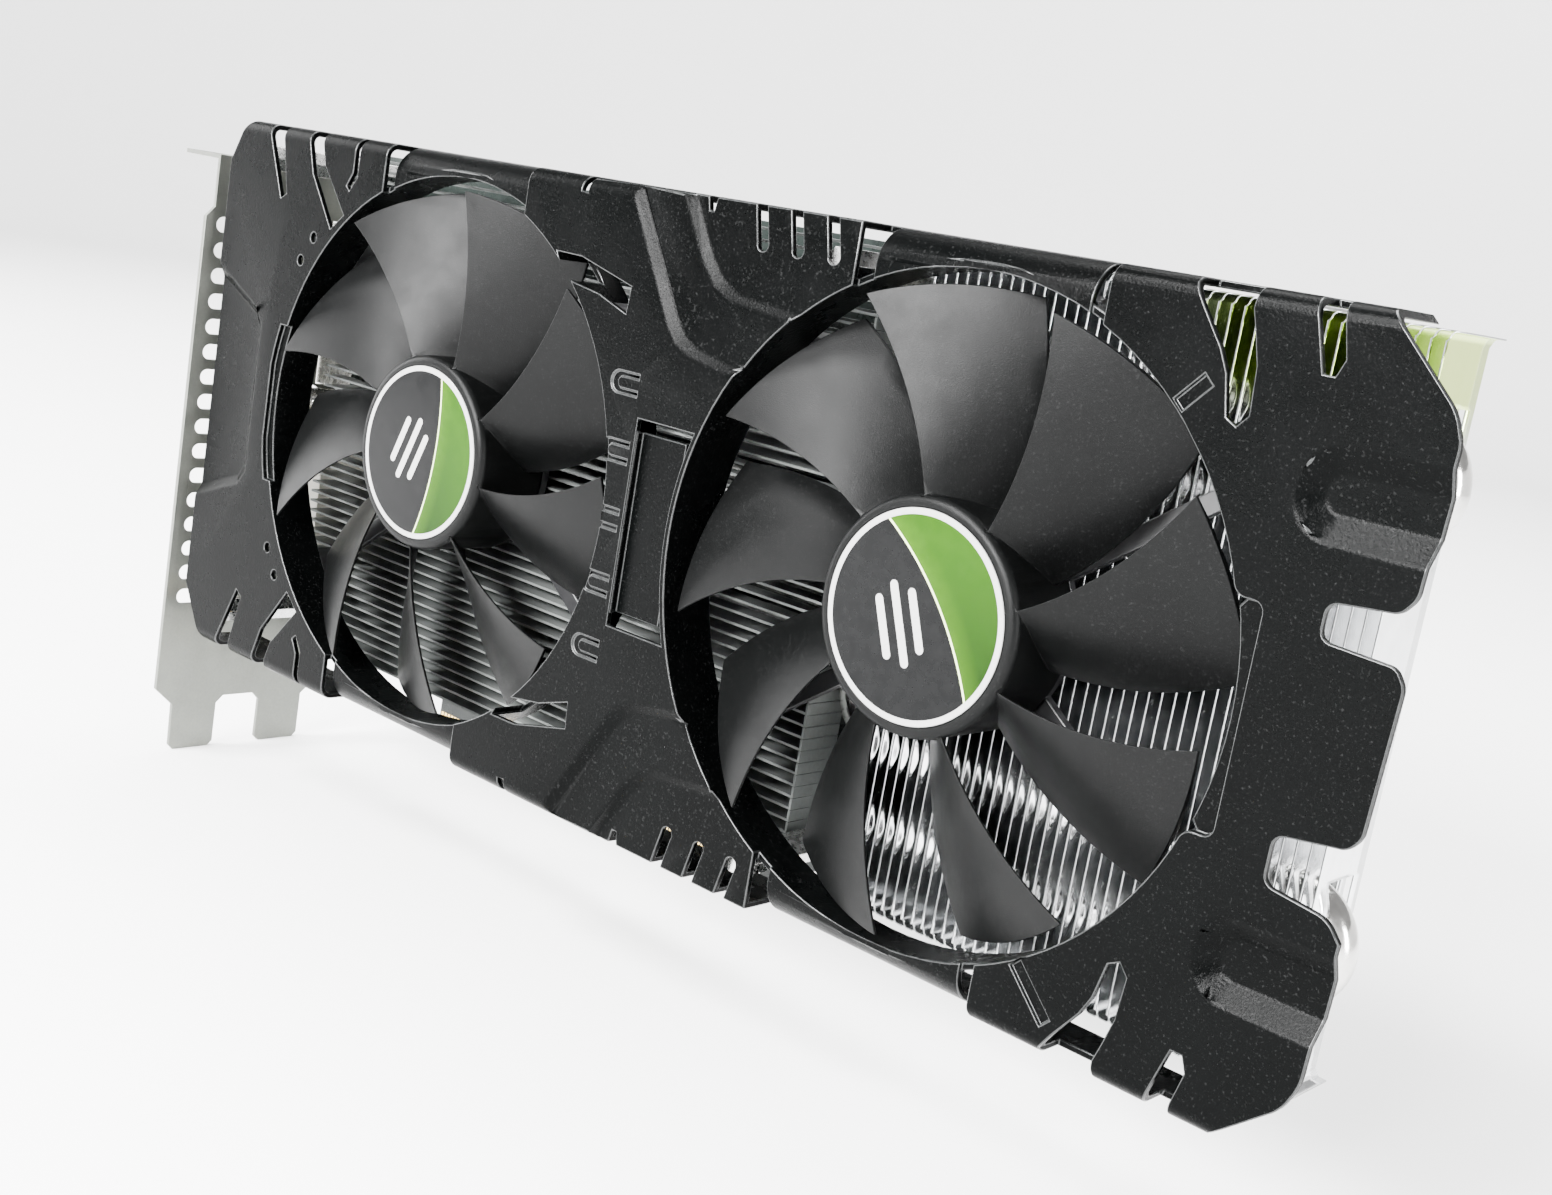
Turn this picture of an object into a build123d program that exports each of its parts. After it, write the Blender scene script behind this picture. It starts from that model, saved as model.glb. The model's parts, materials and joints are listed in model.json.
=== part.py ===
"""Dual-fan graphics card with a stamped sheet-metal shroud and a two-slot bracket.

The card is drawn lying on its back and stood up when it is written: x runs from the bracket to
the tail, y from the edge contacts to the top edge, z is the height above the face of the circuit
board that carries the components. Standing, the fans face -Y and the bracket's tab is at the top.
The origin is on the bracket's outer face, level with the contacts' lower edge and with the
board's component face.
"""
import os
from math import cos, pi, radians, sin, tan

from build123d import *

# ---------------------------------------------------------------- driving dimensions (mm)
FAN_X = 74.3              # left fan axis, from the bracket's outer face
FAN_Y = 63.3              # both fan axes, above the edge contacts
FAN_PITCH = 107.9         # distance between the two fan axes

BOARD_T = 1.6
BOARD_X0, BOARD_X1 = 3.0, 232.0
BOARD_Y0, BOARD_Y1 = 8.25, 111.15
CONTACT_X0, KEY_X0, KEY_X1, CONTACT_X1 = 46.45, 58.10, 60.00, 131.65

SIDE_Z = 34.6             # front of the shroud's two end plates
MID_Z = 36.2              # front of the raised middle plate
SHEET = 1.0               # shroud sheet thickness
LEFT_U0, LEFT_U1 = -68.6, -20.7   # the three plates' ends, from the left fan axis
MID_U0, MID_U1 = 18.9, 86.5
RIGHT_U0, RIGHT_U1 = 127.0, 174.4
BEND = 2.6                # outer bend radius between plate and flange
HALF = 50.2               # shroud centre line to the outside of a flange
FLANGE_Z = 22.6           # free edge of the flanges
RAIL_H = 5.4              # strip of flange that runs past both openings
OPEN_R = 46.5             # fan openings
COLLAR_Z0 = 26.0          # rear of the drawn collar round each opening
STRAIGHT_HALF = 14.5      # half the length of an end opening's straight side
STRAIGHT_OUT = 1.5        # how far outside the opening's circle that side is cut
LIP_Z = 33.6              # front of the lips that close an opening above and below the fan

STICKER_Z = 36.0          # front of the hub sticker
STICKER_R = 14.7
HUB_R = 16.5
HUB_Z0 = 22.4
BLADES = 9
TIP_R = 44.5
BLADE_FRONT_Z, BLADE_REAR_Z = 35.3, 26.0
BLADE_SPAN = 30.0         # degrees from the leading to the trailing edge
BLADE_SWEEP = 16.0        # degrees that the leading edge gains from hub to tip
LEFT_PHASE, RIGHT_PHASE = 7.0, 34.0

HUB_WALL = 1.5
CUP_WALL = 0.8                    # steel cup inside the hub
MAGNET_R0 = 12.2
SHAFT_R, BEARING_R, BEARING_TUBE_R = 1.5, 4.0, 5.0
STATOR_Z0, STATOR_Z1, STATOR_R, POLE_W = 24.0, 29.5, 11.4, 3.2

FRAME_Z0, FRAME_Z1 = 20.2, 21.8   # fan frame's motor base
STRUT_ANGLES = (-144.5, -35.5, 35.5, 144.5)
POST_R = 50.5             # fan frame posts, from the fan axis

FIN_TOP = 19.5
LEFT_FIN_Z0, RIGHT_FIN_Z0 = 11.0, 6.5
FIN_T = 0.4
LEFT_FIN_PITCH, RIGHT_FIN_PITCH = 1.9, 1.87
LEFT_FIN_U0, LEFT_FIN_U1, LEFT_FIN_HALF = -52.0, 80.0, 46.6
RIGHT_FIN_U0, RIGHT_FIN_COUNT = 89.0, 41
FIN_HALF = 48.8
PIPE_R, PIPE_Z = 3.0, 12.5
PIPE_IN_V, PIPE_LEG_V, PIPE_BACK_V = 8.0, 24.0, 36.0
PIPE_JOG_U, PIPE_END_U = 83.4, 165.0

BRACKET_T = 0.86
BRACKET_Z0, BRACKET_Z1, BRACKET_TAB_Z1 = -3.1, 35.6, 33.8
BRACKET_TOP = 106.2
TAB_LENGTH = 11.4
VENT_PITCH, VENT_ROWS, VENT_H = 4.95, 16, 3.0

CHIP_U, CHIP_V = 30.0, 0.0        # graphics chip centre, from the left fan axis
CHIP_SIDE, CHIP_T, DIE_SIDE, DIE_T = 37.5, 1.2, 20.0, 0.8
SCREW_SPREAD = 58.4               # square of spring screws round the chip
SOCKET_PITCH, SOCKET_WALL = 4.2, 1.0
SOCKET_X0 = 209.0                 # auxiliary power socket, three ways wide
SOCKET_X1 = SOCKET_X0 + 3 * SOCKET_PITCH + SOCKET_WALL

PARTS = {}


# ---------------------------------------------------------------- small helpers
def add(name, *shapes):
    """Keep one sub-part, stood up into the final frame."""
    solids = [s for shape in shapes for s in shape.solids()]
    stood = [Rot(90, 0, 0) * s for s in solids]
    PARTS[name] = stood[0] if len(stood) == 1 else Compound(children=stood)


def block(x0, x1, y0, y1, z0, z1):
    """A box given by its two corners."""
    centre = Pos((x0 + x1) / 2, (y0 + y1) / 2, (z0 + z1) / 2)
    return centre * Box(x1 - x0, y1 - y0, z1 - z0)


def rod(x, y, z0, z1, radius):
    """A cylinder along z."""
    return Pos(x, y, (z0 + z1) / 2) * Cylinder(radius, z1 - z0)


def tube(x, y, z0, z1, outer, inner):
    """A hollow cylinder along z."""
    return rod(x, y, z0, z1, outer) - rod(x, y, z0 - 1, z1 + 1, inner)


def slab(points, z0, z1):
    """A flat outline, extruded between two heights."""
    face = make_face(Polyline(*points, close=True))
    return Pos(0, 0, z0) * extrude(face, z1 - z0, dir=(0, 0, 1))


def on_side(points, side):
    """An outline as drawn (1), or mirrored in the shroud's centre line (-1)."""
    return [(x, side * y) for x, y in points]


def on_fans(shape):
    """Move a shape drawn about the left fan axis to its place on the card."""
    return Pos(FAN_X, FAN_Y, 0) * shape


def pan_screw(x, y, z, length, head_r, shank_r, up=True):
    """Pan-head screw with a cross recess; z is where the head seats."""
    head_h = head_r * 0.62
    head = rod(0, 0, 0, head_h, head_r)
    head = fillet(head.edges().group_by(Axis.Z)[-1], head_h * 0.45)
    recess = block(-head_r * 0.55, head_r * 0.55, -0.3, 0.3, head_h * 0.4, head_h + 1)
    screw = head + rod(0, 0, -length, 0.05, shank_r) - recess - Rot(0, 0, 90) * recess
    turn = Rot(0, 0, 45) if up else Rot(180, 0, 45)
    return Pos(x, y, z) * turn * screw


# ---------------------------------------------------------------- shroud
# Plan outlines, from the left fan axis.
TOP_LEFT_U, BOTTOM_LEFT_U, CORNER_RIGHT_U = -64.4, -62.0, 162.9   # ends of the flanges
LEFT_PLATE = [(LEFT_U0, 42.4), (TOP_LEFT_U, HALF), (LEFT_U1, HALF), (LEFT_U1, -HALF),
              (BOTTOM_LEFT_U, -HALF), (-66.0, -44.0), (LEFT_U0, -40.0)]
MID_PLATE = [(MID_U0, HALF), (MID_U1, HALF), (MID_U1, -HALF), (MID_U0, -HALF)]
RIGHT_PLATE = [(RIGHT_U0, HALF), (CORNER_RIGHT_U, HALF), (172.9, 40.3), (174.2, 37.0),
               (173.6, 19.5), (172.0, 17.4), (163.5, 16.6), (163.5, 12.2), (173.0, 11.6),
               (RIGHT_U1, 9.6), (173.8, -8.4), (172.4, -10.2), (163.5, -11.4), (163.5, -17.4),
               (172.0, -18.6), (174.0, -21.0), (173.4, -39.0), (171.8, -42.6),
               (CORNER_RIGHT_U, -HALF), (RIGHT_U0, -HALF)]

TOP_CUTS_LEFT = [
    [(-58.0, 52.0), (-53.0, 52.0), (-49.3, 38.2), (-50.9, 37.2)],
    [(-45.0, 52.0), (-41.0, 52.0), (-38.2, 44.2), (-31.2, 36.4), (-34.6, 33.6), (-41.6, 42.6)],
    [(-29.7, 52.0), (-28.4, 52.0), (-28.4, 43.4), (-30.3, 40.8), (-31.2, 41.6), (-29.7, 44.0)],
]
CORNER_CUT_MID = [(28.0, 37.9), (33.7, 37.8), (45.5, 34.9), (45.2, 30.8), (38.7, 32.9),
                  (30.0, 34.2)]
EDGE_CUTS_MID = [
    [(56.6, 52.0), (59.2, 52.0), (58.4, 48.0), (57.6, 48.0)],
    [(31.6, 52.0), (33.0, 52.0), (33.0, 47.6), (31.6, 47.6)],
]
TOP_CUT_RIGHT = [(138.6, 52.0), (138.6, 49.4), (140.4, 46.7), (143.6, 42.4), (145.0, 39.6),
                 (146.1, 34.6), (147.6, 33.8), (148.9, 35.3), (148.5, 41.0), (147.5, 44.6),
                 (146.6, 47.4), (146.6, 52.0)]
CORNER_HOLES = ((-39.3, 31.4), (-42.5, 26.9))
CORNER_HOLE_R = 0.9
SLOT_RIGHT = [(153.6, 52.0), (157.0, 52.0), (159.1, 43.6), (158.3, 41.6), (156.8, 41.6)]
RIB_OUTER = [(40.8, 52.0), (54.2, 30.4), (56.4, 28.0), (59.4, 26.6), (65.8, 25.5), (92.0, 25.5),
             (92.0, 52.0)]
RIB_INNER = [(51.6, 52.0), (58.7, 40.3), (61.4, 37.4), (65.0, 35.6), (75.3, 34.7), (92.0, 34.7),
             (92.0, 52.0)]
RIB_WALL = 1.6            # plan width of an embossed wall
STEP_OUTER, STEP_INNER = 1.0, 0.8
PANEL_DEPTH = 1.2         # of the trapezoid panel beside the bracket
CHANNEL_U, CHANNEL_L, CHANNEL_DEPTH = 171.0, 29.0, 2.0
CHANNELS = ((28.6, 11.2), (-28.3, 11.4))              # across the card, width
CREASES = ((141.2, 36.6, 47, 5.0), (136.0, -42.6, -45, 8.5))   # place, angle, length
EDGE_SLOT_U, EDGE_SLOT_PITCH, EDGE_SLOTS = 69.0, 6.75, 3
EDGE_SLOT_V, EDGE_SLOT_R = 44.6, 1.0
WINDOW_U0, WINDOW_U1, WINDOW_V0, WINDOW_V1 = 51.2, 64.0, -16.4, 15.8
FLAP_U0, FLAP_V0, FLAP_V1, FLAP_BACK = 50.2, -14.4, 13.8, 2.6
LANCE_U, LANCE_V, LANCE_PITCH, LANCES, LANCE_DEPTH = 48.0, 20.6, 10.4, 5, 0.35
LIP_R = 5.6
LIPS = ((-19.0, 16.2, 0.0), (89.3, 124.3, FAN_PITCH))          # two ends and the fan's axis


def plate_block(u0, u1, top, inset):
    """The volume behind a face plate and its two flanges, with its skin set in by inset."""
    half = HALF - inset
    body = block(u0, u1, -half, half, FLANGE_Z - inset, top - inset)
    long_edges = body.edges().filter_by(Axis.X).group_by(Axis.Z)[-1]
    return fillet(long_edges, BEND - inset)


def tub(u, v, length, width, top, depth):
    """A pressed channel with sloping walls, closed by a rounded end."""
    wall = 1.6 * depth
    upper = Pos(u, v, top) * RectangleRounded(length, width, width * 0.45)
    lower = Pos(u, v, top - depth) * RectangleRounded(length - 2 * wall, width - 2 * wall,
                                                      (width - 2 * wall) * 0.45)
    return loft([upper, lower])


def crease(u, v, angle, length, top):
    """A short straight crease pressed into the sheet."""
    return Pos(u, v, top) * Rot(0, 0, angle) * Box(length, 1.8, 1.0)


def stepped_corner(outline, top, depth):
    """A corner of the plate pressed back by depth, behind a sloping wall."""
    count = len(outline)
    walled = [(x + RIB_WALL, y + 0.9) for x, y in outline[:count - 2]]
    lower = walled[:1] + [(x - 0.4, y + 0.5) for x, y in walled[1:]]
    lower = lower + outline[count - 2:]
    upper_face = Pos(0, 0, top) * make_face(Polyline(*outline, close=True))
    lower_face = Pos(0, 0, top - depth) * make_face(Polyline(*lower, close=True))
    return loft([upper_face, lower_face], ruled=True)


def left_pockets(inset):
    """The trapezoid panel pressed back beside the bracket."""
    top = SIDE_Z - inset
    upper = [(-75.0, 25.6), (-55.0, 16.6), (-52.6, 13.6), (-52.6, -14.6), (-55.0, -17.6),
             (-75.0, -24.8)]
    lower = [(-75.0, 23.6), (-56.0, 15.0), (-54.6, 12.8), (-54.6, -13.8), (-56.0, -15.8),
             (-75.0, -22.8)]
    upper_face = Pos(0, 0, top) * make_face(Polyline(*upper, close=True))
    lower_face = Pos(0, 0, top - PANEL_DEPTH) * make_face(Polyline(*lower, close=True))
    return loft([upper_face, lower_face], ruled=True)


def mid_pockets(inset):
    """Both stepped corners of the middle plate, top and bottom."""
    top = MID_Z - inset
    outer = stepped_corner(RIB_OUTER, top, STEP_OUTER)
    inner = stepped_corner(RIB_INNER, top - STEP_OUTER, STEP_INNER)
    pair = outer + inner
    return pair + mirror(pair, Plane.XZ)


def right_pockets(inset):
    """Two channels pressed into the tail plate, running out of its edge, and two short creases."""
    top = SIDE_Z - inset
    pockets = [tub(CHANNEL_U, v, CHANNEL_L, width, top, CHANNEL_DEPTH) for v, width in CHANNELS]
    pockets += [crease(*place, top) for place in CREASES]
    return pockets[0] + pockets[1:]


def pressed_plate(outline, u0, u1, top, pockets):
    """One face plate with its flanges, pressed and trimmed, and the volume that it encloses."""
    outer = plate_block(u0, u1, top, 0) - pockets(0)
    inner = plate_block(u0 - 5, u1 + 5, top, SHEET) - pockets(SHEET)
    trim = slab(outline, FLANGE_Z - 2, top + 2)
    return (outer - inner) & trim, outer & trim


def opening_collar(fan_u, u0, u1, top):
    """The drawn rim of a fan opening, between two positions along the card."""
    rim = tube(fan_u, 0, COLLAR_Z0, top, OPEN_R + SHEET, OPEN_R)
    return rim & block(u0, u1, -HALF + SHEET, HALF - SHEET, 0, top + 1)


def straight_side(u0, u1, fan_u):
    """The ledge behind the straight side of an end opening, which closes it down to the collar."""
    ledge = block(u0, u1, -STRAIGHT_HALF - SHEET, STRAIGHT_HALF + SHEET, SIDE_Z - 2 * SHEET,
                  SIDE_Z - SHEET)
    return ledge - rod(fan_u, 0, 0, SIDE_Z, OPEN_R)


def fan_lip(u0, u1, fan_u, side):
    """The rounded lip that closes the top or bottom of a fan opening up to the flange."""
    v_axis = HALF - LIP_R
    z_axis = LIP_Z - LIP_R
    ring = Cylinder(LIP_R, u1 - u0) - Cylinder(LIP_R - SHEET, u1 - u0 + 2)
    ring = Pos((u0 + u1) / 2, v_axis, z_axis) * Rot(0, 90, 0) * ring
    lip = ring & block(u0, u1, v_axis, HALF + 1, z_axis, LIP_Z + 1)
    lip += block(u0, u1, v_axis - 6, v_axis, LIP_Z - SHEET, LIP_Z)
    lip -= rod(fan_u, 0, 0, MID_Z + 5, OPEN_R)
    return lip if side > 0 else mirror(lip, Plane.XZ)


def slanted_slot(u, side):
    """One of the three slots cut through a corner and its bend."""
    v, r = EDGE_SLOT_V, EDGE_SLOT_R
    slot = slab([(u - 2.9, 52.4), (u - 0.9, 52.4), (u + r, v), (u - r, v)], 28, 40)
    slot = slot + rod(u, v, 28, 40, r)
    return slot if side > 0 else mirror(slot, Plane.XZ)


def lance_mark(v):
    """A shallow U-shaped lance mark beside the raised plate's centre."""
    outer = Pos(LANCE_U, v, 0) * SlotOverall(7.4, 3.4)
    inner = Pos(LANCE_U + 0.4, v, 0) * SlotOverall(5.4, 1.8)
    groove = extrude(outer - inner, LANCE_DEPTH + 0.15, dir=(0, 0, 1))
    open_end = block(LANCE_U + 2.2, LANCE_U + 6, v - 3, v + 3, -1, 2)
    return Pos(0, 0, MID_Z - LANCE_DEPTH) * (groove - open_end)


def make_shroud():
    """The whole stamped shroud."""
    left, left_volume = pressed_plate(LEFT_PLATE, LEFT_U0 - 1.4, LEFT_U1, SIDE_Z, left_pockets)
    middle, middle_volume = pressed_plate(MID_PLATE, MID_U0, MID_U1, MID_Z, mid_pockets)
    right, right_volume = pressed_plate(RIGHT_PLATE, RIGHT_U0, RIGHT_U1 + 1.6, SIDE_Z,
                                        right_pockets)

    for fan_u in (0.0, FAN_PITCH):
        hole = rod(fan_u, 0, FLANGE_Z - 1, MID_Z + 1, OPEN_R)
        left -= hole
        middle -= hole
        right -= hole
    middle -= block(WINDOW_U0, WINDOW_U1, WINDOW_V0, WINDOW_V1, 30, 40)
    left += opening_collar(0.0, -50, LEFT_U1, SIDE_Z) & left_volume
    middle += opening_collar(0.0, MID_U0, 50, MID_Z) & middle_volume
    middle += opening_collar(FAN_PITCH, 55, MID_U1, MID_Z) & middle_volume
    right += opening_collar(FAN_PITCH, RIGHT_U0, 160, SIDE_Z) & right_volume
    reach = OPEN_R + STRAIGHT_OUT
    z0 = SIDE_Z - SHEET
    left -= block(-reach, -38, -STRAIGHT_HALF, STRAIGHT_HALF, z0, 40) & rod(0, 0, 0, 50, reach + 0.5)
    left += straight_side(-reach - SHEET, -38, 0.0)
    right -= block(146, FAN_PITCH + reach, -STRAIGHT_HALF, STRAIGHT_HALF, z0, 40)
    right += straight_side(146, FAN_PITCH + reach + SHEET, FAN_PITCH)

    for side in (1, -1):
        for outline in TOP_CUTS_LEFT:
            left -= slab(on_side(outline, side), 29.0, 40)
        for u, v in CORNER_HOLES:
            left -= rod(u, side * v, 30, 40, CORNER_HOLE_R)
        middle -= slab(on_side(CORNER_CUT_MID, side), 30.0, 40)
        for outline in EDGE_CUTS_MID:
            middle -= slab(on_side(outline, side), 30.0, 40)
        for step in range(EDGE_SLOTS):
            middle -= slanted_slot(EDGE_SLOT_U + EDGE_SLOT_PITCH * step, side)
        right -= slab(on_side(TOP_CUT_RIGHT, side), 29.0, 40)
        right -= slab(on_side(SLOT_RIGHT, side), 29.0, 40)

    back = MID_Z - FLAP_BACK
    flap = block(FLAP_U0, FLAP_U0 + 10.4, FLAP_V0, FLAP_V1, back, back + SHEET)
    flap += block(FLAP_U0, FLAP_U0 + 1.1, FLAP_V0, FLAP_V1, back, MID_Z - 0.4)
    middle += flap - rod(FAN_PITCH, 0, 0, 40, OPEN_R + 0.4)
    for index in range(LANCES):
        middle -= lance_mark(LANCE_V - LANCE_PITCH * index)

    shroud = left + middle + right
    rail_z1 = FLANGE_Z + RAIL_H
    shroud += block(TOP_LEFT_U, CORNER_RIGHT_U, HALF - SHEET, HALF, FLANGE_Z, rail_z1)
    shroud += block(BOTTOM_LEFT_U, CORNER_RIGHT_U, -HALF, -HALF + SHEET, FLANGE_Z, rail_z1)
    rim_top = LIP_Z - SHEET / 2
    shroud += opening_collar(0.0, LEFT_U1 - SHEET, MID_U0 + SHEET, rim_top)
    shroud += opening_collar(FAN_PITCH, MID_U1 - SHEET, RIGHT_U0 + SHEET, rim_top)
    for side in (1, -1):
        for u0, u1, fan_u in LIPS:
            shroud += fan_lip(u0, u1, fan_u, side)
    return on_fans(shroud)


# ---------------------------------------------------------------- fans
def blade_section(distance):
    """Blade section in the plane at this distance from the axis, square to the root's radius."""
    front, back = [], []
    steps = 4
    for index in range(steps + 1):
        share = index / steps
        angle, radius = 0.0, distance
        for _ in range(12):
            sweep = BLADE_SWEEP * (radius - TIP_R) / (TIP_R - HUB_R)
            angle = sweep - BLADE_SPAN * (share - 0.5)
            radius = distance / cos(radians(angle))
        drop = 0.72 * share + 0.28 * share ** 2
        height = BLADE_FRONT_Z - (BLADE_FRONT_Z - BLADE_REAR_Z) * drop
        thick = 0.35 + 0.85 * sin(pi * min(max(share, 0.06), 0.94))
        side = distance * tan(radians(angle))
        front.append((distance, side, height))
        back.append((distance, side, height - thick))
    outline = [Spline(*front), Line(front[-1], back[-1]), Spline(*reversed(back)),
               Line(back[0], front[0])]
    return make_face(Wire(outline))


def make_blade():
    """One swept blade, from inside the hub wall to the tip circle."""
    sections = [blade_section(d) for d in (HUB_R - 2.2, 23.0, 32.0, TIP_R + 1.0)]
    body = loft(sections)
    body = body & rod(0, 0, 0, 50, TIP_R)
    return body - rod(0, 0, 0, 50, HUB_R - HUB_WALL / 2 + 0.05)


def make_rotor(fan_u, phase):
    """Hub cap with its nine blades, moulded in one piece."""
    crown = STICKER_Z - 0.25
    hub = rod(0, 0, HUB_Z0, crown + 0.15, HUB_R)
    hub = fillet(hub.edges().group_by(Axis.Z)[-1], 1.3)
    hub -= rod(0, 0, crown, crown + 1, STICKER_R + 0.1)
    hub -= rod(0, 0, HUB_Z0 - 1, crown - 1.8, HUB_R - HUB_WALL)
    hub += rod(0, 0, crown - 4.2, crown - 1.7, 4.0)
    hub -= rod(0, 0, HUB_Z0 - 1, crown - 1.2, SHAFT_R)
    blade = make_blade()
    for index in range(BLADES):
        hub += Rot(0, 0, phase - BLADE_SPAN / 2 + index * 360.0 / BLADES) * blade
    return on_fans(Pos(fan_u, 0, 0) * hub)


def make_fan_frame(fan_u, tall_posts):
    """Motor base, bearing tube, four struts and the posts that reach the shroud's plates."""
    frame = rod(0, 0, FRAME_Z0, FRAME_Z1, HUB_R - 0.4)
    frame += tube(0, 0, FRAME_Z0, 31.0, BEARING_TUBE_R, BEARING_R)
    frame += rod(0, 0, FRAME_Z0, FRAME_Z0 + 0.8, 4.6)
    for angle, top in zip(STRUT_ANGLES, tall_posts):
        strut = block(HUB_R - 2, POST_R, -1.5, 1.5, FRAME_Z0, FRAME_Z1)
        post = rod(POST_R, 0, FRAME_Z0, top, 2.6)
        frame += Rot(0, 0, angle) * (strut + post)
    frame -= rod(0, 0, FRAME_Z0 + 0.8, 32, BEARING_R)
    return on_fans(Pos(fan_u, 0, 0) * frame)


def make_stator(fan_u):
    """Laminated stator ring with four poles."""
    core = tube(0, 0, STATOR_Z0, STATOR_Z1, 7.0, BEARING_TUBE_R)
    for index in range(4):
        pole = block(6.0, 9.5, -POLE_W / 2, POLE_W / 2, STATOR_Z0, STATOR_Z1)
        shoe = tube(0, 0, STATOR_Z0, STATOR_Z1, STATOR_R, STATOR_R - 2.2)
        shoe &= block(0, 12, -6.2, 6.2, 20, 32)
        core += Rot(0, 0, 45 + 90 * index) * (pole + shoe)
    return on_fans(Pos(fan_u, 0, 0) * core)


def make_windings(fan_u):
    """Four copper coils, one round each pole."""
    coils = []
    gap = 0.05
    half = POLE_W / 2 + gap
    for index in range(4):
        coil = block(7.3, 8.6, -3.0, 3.0, STATOR_Z0 - 1.1, STATOR_Z1 + 1.1)
        coil -= block(7, 9, -half, half, STATOR_Z0 - gap, STATOR_Z1 + gap)
        coils.append(on_fans(Pos(fan_u, 0, 0) * Rot(0, 0, 45 + 90 * index) * coil))
    return coils


def make_fans():
    """Both fans: moulded parts, motor and bearing."""
    side_top = SIDE_Z - SHEET
    mid_top = MID_Z - SHEET
    corner_top = MID_Z - STEP_OUTER - SHEET
    low_top = MID_Z - STEP_OUTER - STEP_INNER - SHEET
    fans = (("left", 0.0, LEFT_PHASE, (side_top, mid_top, mid_top, side_top)),
            ("right", FAN_PITCH, RIGHT_PHASE, (corner_top, side_top, side_top, corner_top)))
    for name, fan_u, phase, posts in fans:
        x = FAN_X + fan_u
        add("fan_rotor_" + name, make_rotor(fan_u, phase))
        add("hub_sticker_" + name, rod(x, FAN_Y, STICKER_Z - 0.25, STICKER_Z, STICKER_R))
        cup_r = HUB_R - HUB_WALL
        magnet_r = cup_r - CUP_WALL
        add("rotor_yoke_" + name, tube(x, FAN_Y, HUB_Z0 + 0.6, 32.0, cup_r, magnet_r))
        add("rotor_magnet_" + name, tube(x, FAN_Y, HUB_Z0 + 1.0, 31.0, magnet_r, MAGNET_R0))
        add("fan_shaft_" + name, rod(x, FAN_Y, FRAME_Z0 + 1.4, STICKER_Z - 1.45, SHAFT_R))
        add("fan_frame_" + name, make_fan_frame(fan_u, posts))
        bearing = tube(x, FAN_Y, FRAME_Z0 + 0.8, 30.8, BEARING_R, SHAFT_R + 0.04)
        add("fan_bearing_" + name, bearing)
        add("fan_stator_" + name, make_stator(fan_u))
        add("fan_windings_" + name, *make_windings(fan_u))
        motor_board = tube(x, FAN_Y, FRAME_Z1, FRAME_Z1 + 0.5, 11.8, BEARING_TUBE_R)
        add("motor_board_" + name, motor_board)


# ---------------------------------------------------------------- heatsink
def pipe_wire(side):
    """Centre line of one heat pipe: out of the base, jog, through the fins, back again."""
    points = [(-6.0, side * PIPE_IN_V), (PIPE_JOG_U, side * PIPE_IN_V),
              (PIPE_JOG_U, side * PIPE_LEG_V), (PIPE_END_U, side * PIPE_LEG_V),
              (PIPE_END_U, side * PIPE_BACK_V), (91.0, side * PIPE_BACK_V)]
    radii = [5.4, 5.4, 5.9, 5.9]
    return FilletPolyline(*points, radius=radii)


def make_pipe(side):
    """One heat pipe, swept along its centre line."""
    path = Pos(0, 0, PIPE_Z) * pipe_wire(side)
    start = Plane(origin=path @ 0, z_dir=path % 0)
    return sweep(start * Circle(PIPE_R), path=path)


def make_left_fins():
    """Fins along the card; those over a heat pipe are cut short to sit on it."""
    fins = []
    count = int(2 * LEFT_FIN_HALF / LEFT_FIN_PITCH) + 1
    for index in range(count):
        v = (index - (count - 1) / 2) * LEFT_FIN_PITCH
        middle = v + LEFT_FIN_PITCH / 2
        over_pipe = abs(abs(middle) - PIPE_IN_V) < PIPE_R + LEFT_FIN_PITCH / 2 + 0.2
        z0 = PIPE_Z + PIPE_R + 0.1 if over_pipe else LEFT_FIN_Z0
        plate = block(LEFT_FIN_U0, LEFT_FIN_U1, v, v + FIN_T, z0, FIN_TOP)
        flange = block(LEFT_FIN_U1 - FIN_T, LEFT_FIN_U1, v, v + LEFT_FIN_PITCH - 0.12, z0, FIN_TOP)
        fins.append(on_fans(plate + flange))
    return fins


def make_right_fins():
    """Fins across the card, threaded on the heat pipes, with folded ends."""
    fins = []
    for index in range(RIGHT_FIN_COUNT):
        u = RIGHT_FIN_U0 + index * RIGHT_FIN_PITCH
        plate = block(u, u + FIN_T, -FIN_HALF, FIN_HALF, RIGHT_FIN_Z0, FIN_TOP)
        reach = RIGHT_FIN_PITCH - 0.12
        for side in (1, -1):
            v0, v1 = sorted((side * FIN_HALF, side * (FIN_HALF - FIN_T)))
            plate += block(u, u + reach, v0, v1, RIGHT_FIN_Z0, FIN_TOP - 0.8)
            for v in (PIPE_LEG_V, PIPE_BACK_V):
                bore = Pos(u, side * v, PIPE_Z) * Rot(0, 90, 0) * Cylinder(PIPE_R, 4)
                plate -= bore
            if u > PIPE_END_U - 8.0:
                v0, v1 = sorted((side * (PIPE_LEG_V - 3.8), side * (PIPE_BACK_V + 3.8)))
                plate -= block(u - 1, u + 3, v0, v1, PIPE_Z - 3.5, PIPE_Z + 3.5)
        if SOCKET_X0 - 1.2 < FAN_X + u + reach and FAN_X + u < SOCKET_X1 + 1.2:
            plate -= block(u - 1, u + 3, 34.6, FIN_HALF + 1, 0, 11.2)
        fins.append(on_fans(plate))
    return fins


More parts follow.
